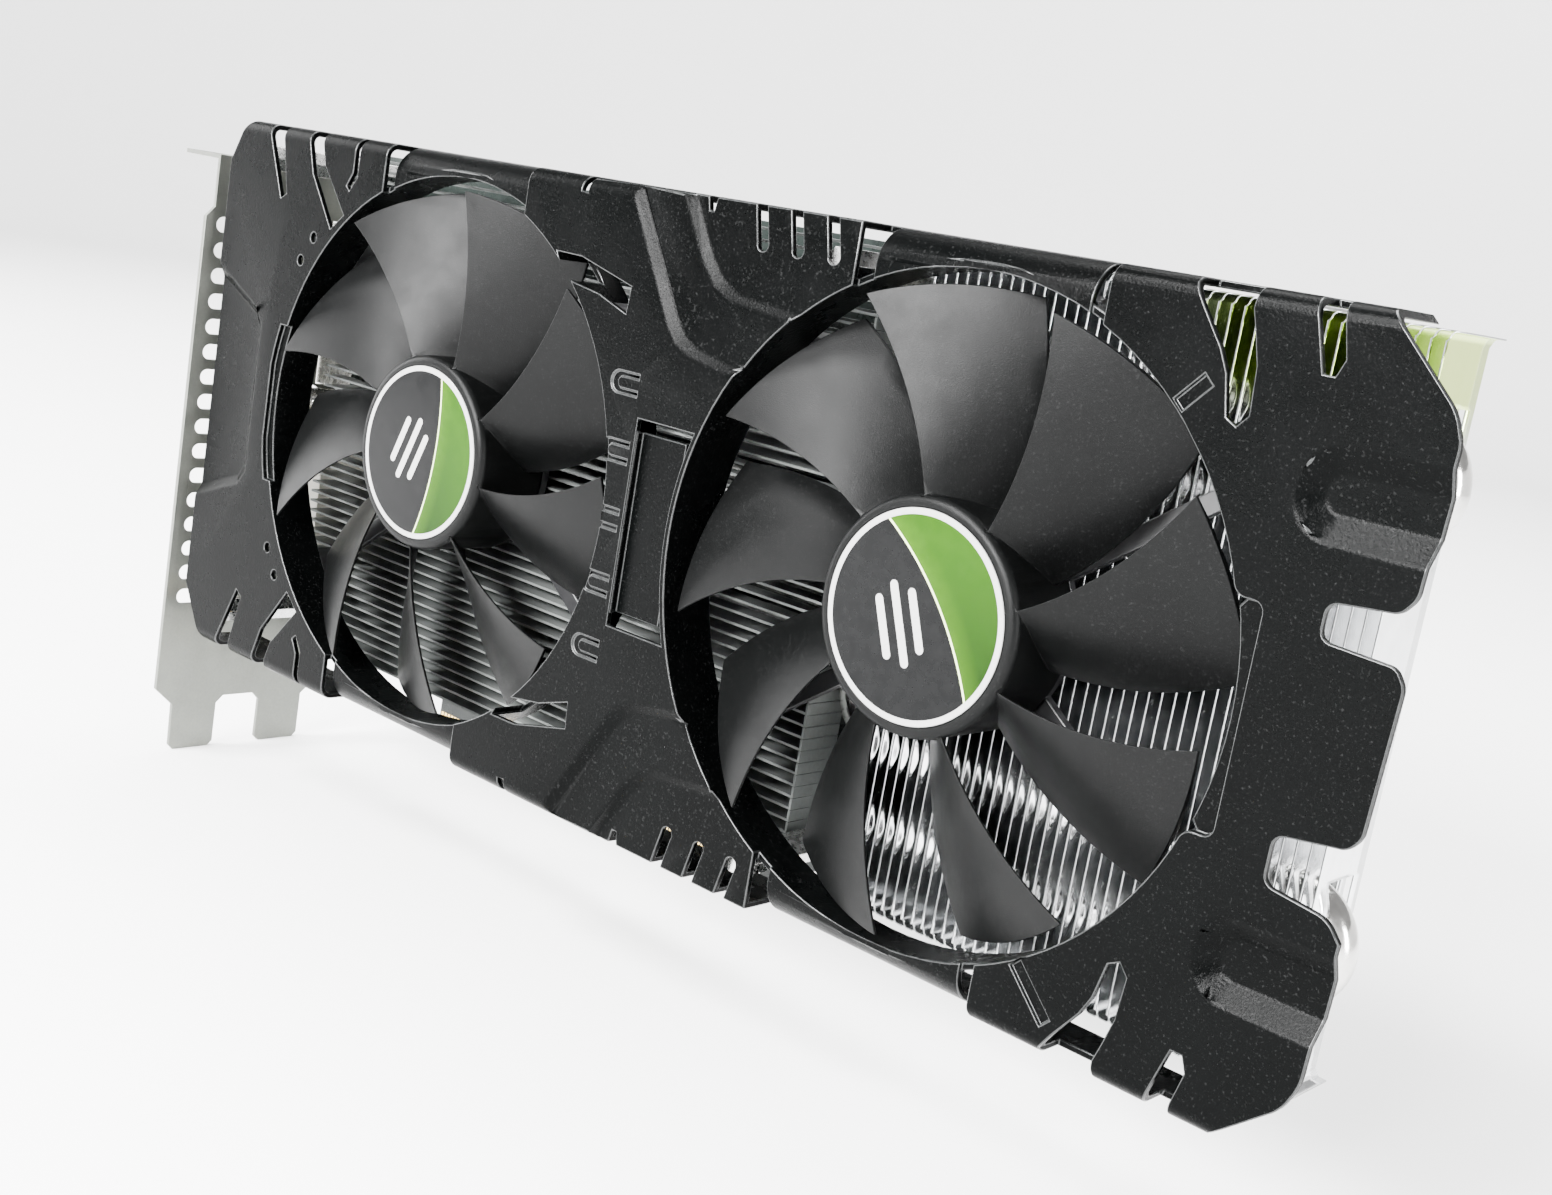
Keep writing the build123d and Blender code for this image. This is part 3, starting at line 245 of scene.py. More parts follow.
SUBSTRATE = finish("chip_substrate", (0.030, 0.085, 0.045), rough=0.38, spread=0.15, patch=0.4,
                   grain=3.0, bump=0.005)
SILICON = finish("die_silicon", (0.20, 0.21, 0.24), metal=0.8, rough=0.10, spread=0.06, patch=0.2,
                 grain=1.0, bump=0.001, rough_spread=0.03)
FERRITE = finish("choke_ferrite", (0.075, 0.076, 0.078), rough=0.62, spread=0.2, patch=0.5,
                 grain=4.0, bump=0.03)
CERAMIC = finish("ceramic_tan", (0.40, 0.28, 0.17), rough=0.48, spread=0.15, patch=0.8, grain=4.0,
                 bump=0.008)
CAN = finish("can_aluminium", (0.74, 0.75, 0.76), metal=1.0, rough=0.24, spread=0.08, patch=0.4,
             grain=2.0, bump=0.005)
SCREW = finish("screw_black_zinc", (0.12, 0.12, 0.125), metal=1.0, rough=0.30, spread=0.15,
               patch=0.7, grain=3.0, bump=0.008)
CROSS = finish("cross_steel", (0.34, 0.34, 0.34), metal=1.0, rough=0.36, spread=0.15, patch=0.3,
               grain=2.0, bump=0.010, stretch=(1.0, 1.0, 0.2))
TRACE = finish("covered_trace", (0.013, 0.018, 0.016), rough=0.30, spread=0.2, patch=0.5,
               grain=2.0, bump=0.003, specular=0.3)
SOLDER = finish("solder_tin", (0.66, 0.67, 0.68), metal=1.0, rough=0.22, spread=0.1, patch=1.0,
                grain=2.0, bump=0.015)


REFLECTION_X, REFLECTION_Z, REFLECTION_SHARE = (203.0, 212.0), (97.0, 104.0), 0.85


def paint_tail_corner_reflection(material, colour):
    """Paint a soft coloured reflection over the upper tail corner."""
    tree = material.node_tree
    shader = tree.nodes["Principled BSDF"]
    axes = tree.nodes.new("ShaderNodeSeparateXYZ")
    link(tree, in_millimetres(tree), axes.inputs[0])
    along = span(tree, axes.outputs["X"], *REFLECTION_X, 0.0, 1.0)
    upward = span(tree, axes.outputs["Z"], *REFLECTION_Z, 0.0, REFLECTION_SHARE)
    plain = shader.inputs["Base Color"].links[0].from_socket
    link(tree, mixed(tree, sums(tree, "MULTIPLY", along, upward), plain, colour),
         shader.inputs["Base Color"])


# painted green-yellow reflection on the right fins' upper tail corner
paint_tail_corner_reflection(FIN_BRIGHT, (0.52, 0.68, 0.09))


POUR_SCALE, WEAVE_SCALE, WEAVE_WARP = 0.11, 0.5, 1.5


def board_finish():
    """Black solder mask over faintly visible copper pours."""
    made, tree, shader = nodes_of("board_mask")
    place = in_millimetres(tree)
    pours = tree.nodes.new("ShaderNodeTexVoronoi")
    pours.distance = "CHEBYCHEV"
    pours.inputs["Scale"].default_value = POUR_SCALE
    link(tree, place, pours.inputs["Vector"])
    tint = span(tree, pours.outputs["Distance"], 0.30, 0.34, 0.0, 1.0)
    base = mixed(tree, tint, (0.0040, 0.0055, 0.0050), (0.0065, 0.0090, 0.0080))
    fine = noise(tree, place, 1.8, 3.0, 0.6)
    tone = mixed(tree, span(tree, fine, 0.35, 0.65, 0.0, 0.5), base, (0.009, 0.012, 0.011))
    link(tree, tone, shader.inputs["Base Color"])
    link(tree, span(tree, noise(tree, place, 0.2, 4.0), 0.3, 0.7, 0.22, 0.36),
         shader.inputs["Roughness"])
    shader.inputs["Specular IOR Level"].default_value = 0.22
    weave = tree.nodes.new("ShaderNodeTexWave")
    weave.inputs["Scale"].default_value = WEAVE_SCALE
    weave.inputs["Distortion"].default_value = WEAVE_WARP
    link(tree, place, weave.inputs["Vector"])
    bumped(tree, shader, sums(tree, "ADD", weave.outputs["Fac"], fine), 0.004)
    return made


BOARD = board_finish()


# ---------------------------------------------------------------- mesh helpers
SHARP = 32.0                                   # edges sharper than this many degrees stay hard
BEVEL_STEPS, FOLD_STEPS, CORNER_STEPS = 2, 3, 4
FOLD_ANGLES, FOLD_WIDTH = (14.0, 48.0), 0.40   # folds pressed into the shroud
EDGE_ANGLE = 50.0                              # the shroud's own bevel leaves those folds alone
FRONT_FACING, SIDE_FACING = -0.6, 0.1          # how far a face's normal points along Y
CORNERS = ((205.0, 1.3), (236.0, 0.8))         # beyond this x, outline corners of this radius
CORNER_ANGLE, CORNER_ROOM = 20.0, 2.1          # a corner needs this many radii of straight edge
WELD, FLAT_ANGLE = 0.002, 0.4                  # millimetres, degrees


def piece(name, mesh, body, slot, *stood_for, place=None):
    """A new piece riding on a body and standing for CAD nodes; its record slot is not used."""
    made = bpy.data.objects.new(name, mesh)
    bpy.context.scene.collection.objects.link(made)
    if place is not None:
        made.matrix_world = place
    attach(made, body)
    if stood_for:
        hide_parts(*stood_for)
    return made


def closed(work, name):
    """Turn a bmesh into a mesh whose faces all point outwards."""
    bmesh.ops.recalc_face_normals(work, faces=work.faces)
    mesh = bpy.data.meshes.new(name)
    work.to_mesh(mesh)
    work.free()
    return mesh


def band(work, low, high, turns):
    """Faces between two rings of vertices; a ring of one vertex is a tip."""
    for index in range(turns):
        after = (index + 1) % turns
        corners = [low[index % len(low)], low[after % len(low)], high[after % len(high)],
                   high[index % len(high)]]
        work.faces.new(list(dict.fromkeys(corners)))


def rounded(made, width, angle=SHARP, edge_slot=None):
    """A small bevel on every edge sharper than angle; width is in millimetres."""
    bevel = made.modifiers.new("edges", "BEVEL")
    bevel.width = width * MM
    bevel.segments = BEVEL_STEPS
    bevel.limit_method = "ANGLE"
    bevel.angle_limit = math.radians(angle)
    bevel.use_clamp_overlap = False
    bevel.harden_normals = True
    if edge_slot is not None:
        bevel.material = edge_slot


def smoothed(mesh, angle=SHARP):
    """Smooth shading broken at edges sharper than angle."""
    mesh.shade_smooth()
    mesh.set_sharp_from_angle(angle=math.radians(angle))


def bevelled(work, edges, width, steps):
    """Round some edges of a bmesh; width is in millimetres."""
    bmesh.ops.bevel(work, geom=edges, offset=width * MM, offset_type="OFFSET", segments=steps,
                    profile=0.5, affect="EDGES", clamp_overlap=False)


def folds_rounded(work):
    """Round the folds pressed into the front of a sheet."""
    work.normal_update()
    low, high = (math.radians(angle) for angle in FOLD_ANGLES)
    folds = [e for e in work.edges if len(e.link_faces) == 2
             and all(face.normal.y < FRONT_FACING for face in e.link_faces)
             and low < e.calc_face_angle(0.0) < high]
    bevelled(work, folds, FOLD_WIDTH, FOLD_STEPS)


def corners_rounded(work, start, radius):
    """Round the corners of a sheet's outline beyond a place along the card, in millimetres."""
    work.normal_update()
    corners = []
    for edge in work.edges:
        ends = [vert.co for vert in edge.verts]
        if min(end.x for end in ends) < start * MM or len(edge.link_faces) != 2:
            continue
        if abs((ends[1] - ends[0]).normalized().y) < 0.99:
            continue
        if any(abs(face.normal.y) > SIDE_FACING for face in edge.link_faces):
            continue
        beside = [other for vert in edge.verts for other in vert.link_edges if other is not edge]
        room = min(other.calc_length() for other in beside)
        sharp = edge.calc_face_angle(0.0) > math.radians(CORNER_ANGLE)
        if room > CORNER_ROOM * radius * MM and sharp:
            corners.append(edge)
    bevelled(work, corners, radius, CORNER_STEPS)


def kept_inside(made):
    """Make a piece's bevel final and draw any corner it throws past the CAD box back onto it."""
    depsgraph = bpy.context.evaluated_depsgraph_get()
    mesh = bpy.data.meshes.new_from_object(made.evaluated_get(depsgraph), depsgraph=depsgraph,
                                           preserve_all_data_layers=True)
    made.modifiers.clear()
    made.data = mesh
    for vertex in mesh.vertices:
        for axis in range(3):
            vertex.co[axis] = min(max(vertex.co[axis], cad_lo[axis]), cad_hi[axis])


def skin(node, material, slot, bevel, edge):
    """A piece shaped as a CAD node, welded and with rounded edges; edge is a lighter finish painted
    on them as a highlight.
    """
    mesh = frame["nodes"][node].data.copy()
    work = bmesh.new()
    work.from_mesh(mesh)
    bmesh.ops.remove_doubles(work, verts=work.verts, dist=WELD * MM)
    bmesh.ops.dissolve_limit(work, angle_limit=math.radians(FLAT_ANGLE), verts=work.verts,
                             edges=work.edges)
    if edge is not None:
        folds_rounded(work)
        for start, radius in CORNERS:
            corners_rounded(work, start, radius)
    work.to_mesh(mesh)
    work.free()
    mesh.materials.clear()
    mesh.materials.append(material)
    if edge is not None:
        mesh.materials.append(edge)
    for polygon in mesh.polygons:
        polygon.material_index = 0
    smoothed(mesh)
    made = piece(node + "_skin", mesh, BODY_OF[node], slot, node)
    if edge is not None:
        # the bevels take the second finish, the painted edge highlight
        rounded(made, bevel, EDGE_ANGLE, 1)
        kept_inside(made)
    elif bevel:
        rounded(made, bevel)


# ---------------------------------------------------------------- every CAD part's looks
# node, or what a left and right pair share: finish, record slot, bevel in millimetres, edge finish
# painted lighter as a highlight
LOOKS = {
    "shroud": (PAINT, "shroud_paint", 0.20, PAINT_EDGE_HIGHLIGHT),
    "fan_rotor": (BLADE, "fan_plastic", 0.15, None),
    "fan_frame": (FRAME, "frame_plastic", 0.3, None),
    "rotor_yoke": (STEEL, "steel", 0.1, None),
    "rotor_magnet": (MAGNET, "magnet", 0.1, None),
    "fan_shaft": (STEEL, "steel", 0.1, None),
    "fan_bearing": (BRASS, "brass", 0.0, None),
    "fan_stator": (LAMINATION, "lamination", 0.0, None),
    "fan_windings": (COPPER, "copper_wire", 0.3, None),
    "motor_board": (SUBSTRATE, "board", 0.0, None),
    "heatsink_base": (BASE_METAL, "base_metal", 0.3, None),
    "heat_pipe_upper": (NICKEL, "pipe_nickel", 0.0, None),
    "heat_pipe_lower": (NICKEL, "pipe_nickel", 0.0, None),
    # painted shade: a much darker copy of the fins' aluminium
    "fins_left": (FIN_DULL_SHADED, "aluminium", 0.0, None),
    "bracket": (ZINC, "bracket_steel", 0.14, None),
    "dvi_shell": (SHELL, "shell_metal", 0.15, None),
    "dvi_body": (HEADER, "socket_plastic", 0.12, None),
    "dvi_jackscrews": (STEEL, "screw_steel", 0.2, None),
    "hdmi_shell": (SHELL, "shell_metal", 0.1, None),
    "hdmi_tongue": (SOCKET, "socket_plastic", 0.1, None),
    "displayport_shell": (SHELL, "shell_metal", 0.1, None),
    "displayport_tongue": (SOCKET, "socket_plastic", 0.1, None),
    "circuit_board": (BOARD, "board", 0.12, None),
    "edge_contacts": (GOLD, "gold", 0.0, None),
    "gpu_substrate": (SUBSTRATE, "substrate", 0.1, None),
    "gpu_die": (SILICON, "silicon", 0.05, None),
    "memory_chips": (CHIP, "chip_black", 0.12, None),
    "controller_chips": (CHIP, "chip_black", 0.1, None),
    "chokes": (FERRITE, "ferrite", 0.3, None),
    "power_switches": (CHIP, "chip_black", 0.1, None),
    "capacitor_cans": (CAN, "aluminium", 0.15, None),
    "capacitor_bases": (SOCKET, "socket_plastic", 0.2, None),
    "crystal": (STEEL, "steel", 0.2, None),
    "fan_headers": (HEADER, "header_plastic", 0.15, None),
    "power_socket": (SOCKET, "socket_plastic", 0.2, None),
    "power_pins": (STEEL, "steel", 0.15, None),
    "shroud_standoffs": (STEEL, "steel", 0.15, None),
    "shroud_screws": (SCREW, "screw_steel", 0.1, None),
    "back_cross": (CROSS, "screw_steel", 0.2, None),
    "cross_washers": (SOCKET, "socket_plastic", 0.2, None),
    "cross_screws": (SCREW, "screw_steel", 0.1, None),
    "bracket_screws": (STEEL, "screw_steel", 0.1, None),
}

# nodes that the sections below rebuild in more detail
OWN_PIECES = {"hub_sticker_left", "hub_sticker_right", "fins_right", "cross_springs",
              "back_capacitors", "ceramic_capacitors"}
for node_name in sorted(frame["nodes"]):
    if node_name in OWN_PIECES:
        continue
    key = node_name if node_name in LOOKS else node_name.rsplit("_", 1)[0]
    look, slot_name, bevel_width, edge_highlight = LOOKS[key]
    skin(node_name, look, slot_name, bevel_width, edge_highlight)


# ---------------------------------------------------------------- hub stickers
STICKER_Z, STICKER_R, RING_R = 36.0, 14.69, 13.80
STICKER_BACK = STICKER_Z - 0.25
DOME_Z, DOME_FALL, DOME_RINGS = 36.15, 0.20, 12   # front of the domed disc, and its fall to the rim
LIME_X, LIME_Z, LIME_REACH = -30.6, -25.7, 44.8   # lime lies beyond this reach of this centre
LIME_FADE, LIME_RIM = (-9.0, 11.0), (0.2, 3.0)    # up the disc, and out from the lime's edge
LINE_AT, LINE_HALF = 0.15, 0.16                   # pale line just inside the lime's edge
BARS = ((0.6, 0.6, 9.0, 1.3), (0.6, -2.2, 12.0, 1.3), (0.6, -5.0, 9.0, 1.3))
BARS_TURN, BARS_PROUD = 68.0, 0.015
LATHE_TURNS, LATHE_ANGLE, BAR_END_STEPS = 128, 40.0, 8


def lathe(name, profile):
    """A mesh turned about the fan axis from (radius, height) pairs in millimetres."""
    work = bmesh.new()
    rows = []
    for radius, height in profile:
        row = []
        for index in range(LATHE_TURNS if radius > 0 else 1):
            angle = 2 * math.pi * index / LATHE_TURNS
            row.append(work.verts.new((radius * math.cos(angle) * MM, -height * MM,
                                       radius * math.sin(angle) * MM)))
        rows.append(row)
    for low, high in zip(rows, rows[1:]):
        band(work, low, high, LATHE_TURNS)
    mesh = closed(work, name)
    smoothed(mesh, LATHE_ANGLE)
    return mesh


def disc_finish():
    """Glossy black disc with a lime segment on one side."""
    made, tree, shader = nodes_of("sticker_disc")
    place = in_millimetres(tree)
    axes = tree.nodes.new("ShaderNodeSeparateXYZ")
    link(tree, place, axes.inputs[0])
    x, z = axes.outputs["X"], axes.outputs["Z"]
    off_x, off_z = sums(tree, "SUBTRACT", x, LIME_X), sums(tree, "SUBTRACT", z, LIME_Z)
    away = sums(tree, "SQRT", sums(tree, "ADD", sums(tree, "MULTIPLY", off_x, off_x),
                                   sums(tree, "MULTIPLY", off_z, off_z)), 0.0)
    green = span(tree, away, LIME_REACH, LIME_REACH + 0.12, 0.0, 1.0)
    blend = span(tree, z, *LIME_FADE, 0.0, 1.0)
    lime = mixed(tree, blend, (0.0012, 0.008, 0.0001), (0.011, 0.040, 0.0001))
    rim = span(tree, away, LIME_REACH + LIME_RIM[0], LIME_REACH + LIME_RIM[1], 0.55, 0.0)
    lime = mixed(tree, rim, lime, (0.024, 0.068, 0.0003))
    mottle = noise(tree, place, 0.5, 4.0)
    lime = mixed(tree, span(tree, mottle, 0.4, 0.6, 0.0, 0.3), lime, (0.006, 0.028, 0.0001))
    ink = mixed(tree, span(tree, mottle, 0.3, 0.7, 0.0, 1.0), (0.0012, 0.0013, 0.0014),
                (0.0028, 0.0029, 0.0030))
    tone = mixed(tree, green, ink, lime)
    off_line = sums(tree, "ABSOLUTE", sums(tree, "SUBTRACT", away, LIME_REACH - LINE_AT), 0.0)
    tone = mixed(tree, sums(tree, "LESS_THAN", off_line, LINE_HALF), tone, (0.42, 0.50, 0.26))
    link(tree, tone, shader.inputs["Base Color"])
    link(tree, span(tree, noise(tree, place, 0.25, 4.0), 0.3, 0.7, 0.16, 0.26),
         shader.inputs["Roughness"])
    shader.inputs["Specular IOR Level"].default_value = 0.06
    bumped(tree, shader, noise(tree, place, 0.35, 2.0), 0.010)
    return made


DISC = disc_finish()


def bar_mesh(name, bars, height):
    """Flat plates with rounded ends: (along, across, length, width) in millimetres."""
    work = bmesh.new()
    for along, across, length, width in bars:
        outline = []
        for side in (1, -1):
            for index in range(BAR_END_STEPS + 1):
                angle = math.radians(-90 + 180 * index / BAR_END_STEPS)
                px = along + side * (length / 2 - width / 2 + width / 2 * math.cos(angle))
                pz = across + side * width / 2 * math.sin(angle)
                outline.append(work.verts.new((px * MM, -height * MM, pz * MM)))
        work.faces.new(outline)
    return closed(work, name)


def make_sticker(side_name, hub_x, turn):
    """A white ring, a domed disc and three plain bars on a fan's hub."""
    body_name, node = "rotor_" + side_name, "hub_sticker_" + side_name
    spin = (Matrix.Translation(stood(hub_x, FAN_Y, 0.0))
            @ Matrix.Rotation(math.radians(-turn), 4, "Y"))
    ring_profile = [(RING_R, STICKER_BACK), (STICKER_R, STICKER_BACK), (STICKER_R, 35.92),
                    (14.60, 36.0), (RING_R + 0.1, 36.02), (RING_R, 35.98)]
    dome_profile = [(0.0, DOME_Z)]
    for ring in range(1, DOME_RINGS + 1):
        share = ring / DOME_RINGS
        dome_profile.append((RING_R * ring / DOME_RINGS, DOME_Z - DOME_FALL * share ** 2))
    dome_profile.append((RING_R, STICKER_BACK))
    for part, profile, look in (("sticker_ring_", ring_profile, RING_WHITE),
                                ("sticker_disc_", dome_profile, DISC)):
        mesh = lathe(part + side_name, profile)
        mesh.materials.append(look)
        piece(part + side_name, mesh, body_name, "sticker", node, place=spin)
    bars = bar_mesh("sticker_bars_" + side_name, BARS, DOME_Z + BARS_PROUD)
    bars.transform(Matrix.Rotation(math.radians(BARS_TURN), 4, "Y"))
    bars.materials.append(RING_WHITE)
    piece("sticker_bars_" + side_name, bars, body_name, "sticker", place=spin)


for fan in FANS:
    make_sticker(*fan)

# ---------------------------------------------------------------- right-hand fins
FIN_U0, FIN_COUNT, FIN_SHEET = 89.0, 41, 0.2   # from the left fan's axis; sheets; thickness
FIN_STEP, FIN_Z0, FIN_TOP, FIN_LEAN = 1.87, 6.5, 19.5, 0.06
FIN_ANGLE = 70.0
PIPE_V, PIPE_END_U = (24.0, 36.0), 165.0
SOCKET_U = (132.7, 149.5)
DIMPLE, DIMPLE_WIDE = 1.1, 2.7                 # how far a fin bulges, and over what length
DIMPLE_START, DIMPLE_RISE = 0.25, 0.75         # below the fin's top edge, and from there to full
DIMPLE_END, DIMPLE_FALL = 2.6, 1.8
WINDOW_V, WINDOW_Z = (20.2, 39.8), (9.0, 16.0)  # the last fins are open round the pipes' ends
WINDOW_ROOM = 8.0                              # from the pipes' end to the first open fin
NOTCH_V, NOTCH_Z = 34.6, 11.2                  # fins over the fan headers are cut away to here
LIP_V, LIP_OUT, LIP_REACH, LIP_LAST, LIP_DROP, LIP_STEPS = 47.6, 1.2, 0.9, 0.85, 0.4, 5
FIN_LINES = ([18.0 + 0.75 * i for i in range(33)]
             + [0.0, 4.5, 9.0, 13.5, 44.5, LIP_V, WINDOW_V[0], NOTCH_V, WINDOW_V[1]])
FIN_HEIGHTS = [FIN_Z0, WINDOW_Z[0], NOTCH_Z, 12.6, 13.8, 15.0, 15.9, 16.8, 17.6, 18.3, 18.6,
               18.8, 19.0, 19.2, FIN_TOP]


def eased(share):
    """A share from 0 to 1 with soft ends; values beyond are clamped."""
    share = min(max(share, 0.0), 1.0)
    return share * share * (3 - 2 * share)


def fin_shift(v, z):
    """How far a fin bulges along the card over each heat pipe, in millimetres."""
    near = min(abs(abs(v) - pipe) for pipe in PIPE_V)
    below = FIN_TOP - z
    shape = (eased((below - DIMPLE_START) / DIMPLE_RISE)
             * (1 - eased((below - DIMPLE_END) / DIMPLE_FALL)))
    return DIMPLE * shape * math.exp(-(near / DIMPLE_WIDE) ** 2)


def make_fin(work, u, lines):
    """One sheet across the card, bulged over the pipes, with its ends folded onto the next."""
    windowed = u > PIPE_END_U - WINDOW_ROOM
    over_socket = SOCKET_U[0] < u + FIN_STEP and u < SOCKET_U[1]
    lean = CHANCE.uniform(-FIN_LEAN, FIN_LEAN)
    grid = [[work.verts.new(stood(
        FAN_X + u + lean * (z - FIN_Z0) / (FIN_TOP - FIN_Z0) + fin_shift(v, z), FAN_Y + v, z))
        for z in FIN_HEIGHTS] for v in lines]
    for row, (v0, v1) in enumerate(zip(lines, lines[1:])):
        for column, (z0, z1) in enumerate(zip(FIN_HEIGHTS, FIN_HEIGHTS[1:])):
            in_window = (WINDOW_V[0] < abs(v0 + v1) / 2 < WINDOW_V[1]
                         and WINDOW_Z[0] <= z0 < WINDOW_Z[1])
            if windowed and in_window:
                continue
            if over_socket and v0 >= NOTCH_V and z1 <= NOTCH_Z:
                continue
            work.faces.new((grid[row][column], grid[row][column + 1],
                            grid[row + 1][column + 1], grid[row + 1][column]))
    for sign, row in ((-1, 0), (1, len(lines) - 1)):
        edge = grid[row][:-1]
        if over_socket and sign > 0:
            edge = edge[FIN_HEIGHTS.index(NOTCH_Z):]
        before = edge
        for step in range(1, LIP_STEPS + 1):
            turn = math.pi / 2 * step / LIP_STEPS
            reach = LIP_REACH * (1 - math.cos(turn)) + (LIP_LAST * (step == LIP_STEPS))
            y = FAN_Y + sign * (LIP_V + LIP_OUT * math.sin(turn))
            after = [work.verts.new(stood(FAN_X + u + reach, y, z - LIP_DROP))
                     for z in FIN_HEIGHTS[-1 - len(edge):-1]]
            for i in range(len(edge) - 1):
                work.faces.new((before[i], before[i + 1], after[i + 1], after[i]))
            before = after


def make_right_fins():
    """The stack of fins across the card, its cut edges duller than its faces."""
    lines = sorted({round(sign * v, 3) for v in FIN_LINES for sign in (-1, 1)})
    work = bmesh.new()
    for index in range(FIN_COUNT):
        make_fin(work, FIN_U0 + index * FIN_STEP, lines)
    mesh = closed(work, "fins_right_pressed")
    mesh.materials.append(FIN_BRIGHT)
    mesh.materials.append(FIN_RIM)
    smoothed(mesh, FIN_ANGLE)
    made = piece("fins_right_pressed", mesh, "card", "aluminium", "fins_right")
    thick = made.modifiers.new("thickness", "SOLIDIFY")
    thick.material_offset_rim = 1
    thick.thickness = FIN_SHEET * MM
    thick.offset = 0.0


make_right_fins()

# ---------------------------------------------------------------- details on the board
CHIP_X, CHIP_Y = FAN_X + 30.0, FAN_Y
BACK = -BOARD_T
DETAIL_ANGLE = 35.0
BOX_FACES = ((0, 1, 3, 2), (4, 6, 7, 5), (0, 4, 5, 1), (2, 3, 7, 6), (0, 2, 6, 4), (1, 5, 7, 3))
TINNED, SET_IN, SET_DOWN = 0.22, 0.02, 0.03   # a passive's end as a share; ceramic within the ends
PASSIVE_BEVEL = 0.06
# solder joints: radius and height
PIN, EAR, POWER_PIN = (0.62, 0.55), (1.05, 0.6), (1.15, 0.9)
COIL_LEAD, HEADER_PIN, VIA = (0.95, 0.45), (0.55, 0.6), (0.24, 0.03)
JOINT_RINGS, JOINT_TURNS, VIA_RINGS, VIA_TURNS = 3, 14, 1, 8
# where the leads come through the board
VIDEO_X, VIDEO_Y, VIDEO_PITCH, VIDEO_COLUMNS = (10.0, 12.2, 14.4), 43.0, 2.3, 8
EAR_X, EAR_Y = (5.4, 11.2), ((43.0, 11.6), (71.0, 7.2), (88.0, 7.8))   # middle, half the span
POWER_X, POWER_Y, POWER_PITCH, POWER_COLUMNS = 211.6, (101.6, 105.8), 4.2, 3
COIL_X, COIL_Y, COIL_PITCH, COIL_COUNT, COIL_HALF = 174.5, 32.0, 14.0, 5, 2.4
CANS = ((205.0, 44.0), (205.0, 54.5), (205.0, 65.0), (205.0, 75.5), (222.0, 44.0),
        (222.0, 60.0), (46.0, 20.0), (140.0, 20.0), (150.0, 20.0))
CAN_HALF = 1.3
HEADER_X, HEADER_Y, HEADER_PITCH, HEADER_PINS = (148.6, 157.1), 88.2, 2.0, 4
# plated holes: columns of (first x, step, how many), then a scatter
VIA_COLUMNS, VIA_Y, VIA_PITCH, VIA_COUNT = ((164.0, 2.2, 3), (197.4, 1.9, 2)), 27.0, 1.8, 40
SCATTER_X, SCATTER_Y, SCATTER_COUNT, CHIP_CLEAR = (18, 228), (14, 108), 420, 18.5
# covered traces: from the edge contacts to the chip, from the chip outwards, from the sockets
TRACE_WIDE, TRACE_NARROW, TRACE_LIFT = 0.42, 0.38, 0.02
CONTACT_COUNT, CONTACT_X, CONTACT_STEP, CONTACT_Y = 34, 61.5, 2.0, 8.6
BALL_X, BALL_STEP, BALL_Y = CHIP_X - 17.0, 1.02, CHIP_Y - 20.5
CONTACT_RISE, CONTACT_SPREAD, CONTACT_LIMIT = 20.0, 0.35, CHIP_Y - 21
OUTWARD_COUNT, OUTWARD_STEP, OUTWARD_Y, OUTWARD_START, OUTWARD_RUN = 14, 1.1, 3.0, 18.6, 10
OUTWARD = ((1, 42.0, 12), (-1, 36.0, 10))     # way along the card, reach, size of the bend
SOCKET_COUNT, SOCKET_X, SOCKET_START, SOCKET_STEP = 9, 17.0, 20.5, 1.2
SOCKET_BEND, SOCKET_END = 12.0, 58.0
SOCKET_Y0, SOCKET_Y1, SOCKET_Y2 = (36.0, 1.8), (60.0, 0.8), (72.0, 0.8)   # first trace, step
# springs under the heads of the chip screws
SPRING_TURNS, SPRING_STEPS, SPRING_SIDES, SPRING_R, SPRING_WIRE = 3.0, 72, 8, 1.85, 0.24
SPRING_TOP, SPRING_FOOT, CROSS_REACH = BACK - 2.45, BACK - 4.15, 29.2
# small ceramic parts; a size is along, across and height, a row is first x, step, y and how many
CORE_SIZE, CORE_COUNT, CORE_PITCH = (1.6, 0.8, 0.6), 7, 4
RIM_SIZE, RIM_HEIGHT, RIM_X, RIM_Y = (1.6, 0.8), 0.8, 21.6, 21.4
RIM_START, RIM_PITCH, RIM_COUNT = -16.0, 4.0, 9
FRONT_ROW, FRONT_ROW_SIZE = (64.0, 4.6, 10.7, 14), (1.0, 0.98, 0.55)
BACK_ROW, BACK_ROW_SIZE = (64.0, 5.2, 12.6, 12), (0.6, 1.1, 0.45)
GROUPS = ((-13.5, 30.0), (4.5, 30.0), (32.0, 14.0), (32.0, -3.0), (32.0, -20.0), (4.5, -31.0),
          (-13.5, -31.0))                     # groups of six round the chip, from its middle
GROUP_SIZE, GROUP_STEP_X, GROUP_STEP_Y = (1.0, 0.5, 0.4), 4, 6
ARM_CLEAR = 6.0                               # kept free along the arms of the cross
SUPPLY = ((184.0, 28.0, 2.0, 1.2, 0.8), (190.0, 29.5, 1.1, 0.6, 0.45))   # x, first y, size
SUPPLY_STEP, SUPPLY_COUNT = 7.0, 10
LOOSE_X, LOOSE_Y, LOOSE_COUNT = (22, 60), (18, 104), 46
LOOSE_SIZES, LOOSE_HEIGHT = ((1.1, 0.6), (0.6, 1.1)), 0.4
STANDOFFS, STANDOFF_CLEAR = ((17.3, 107.3), (17.3, 20.7)), 6


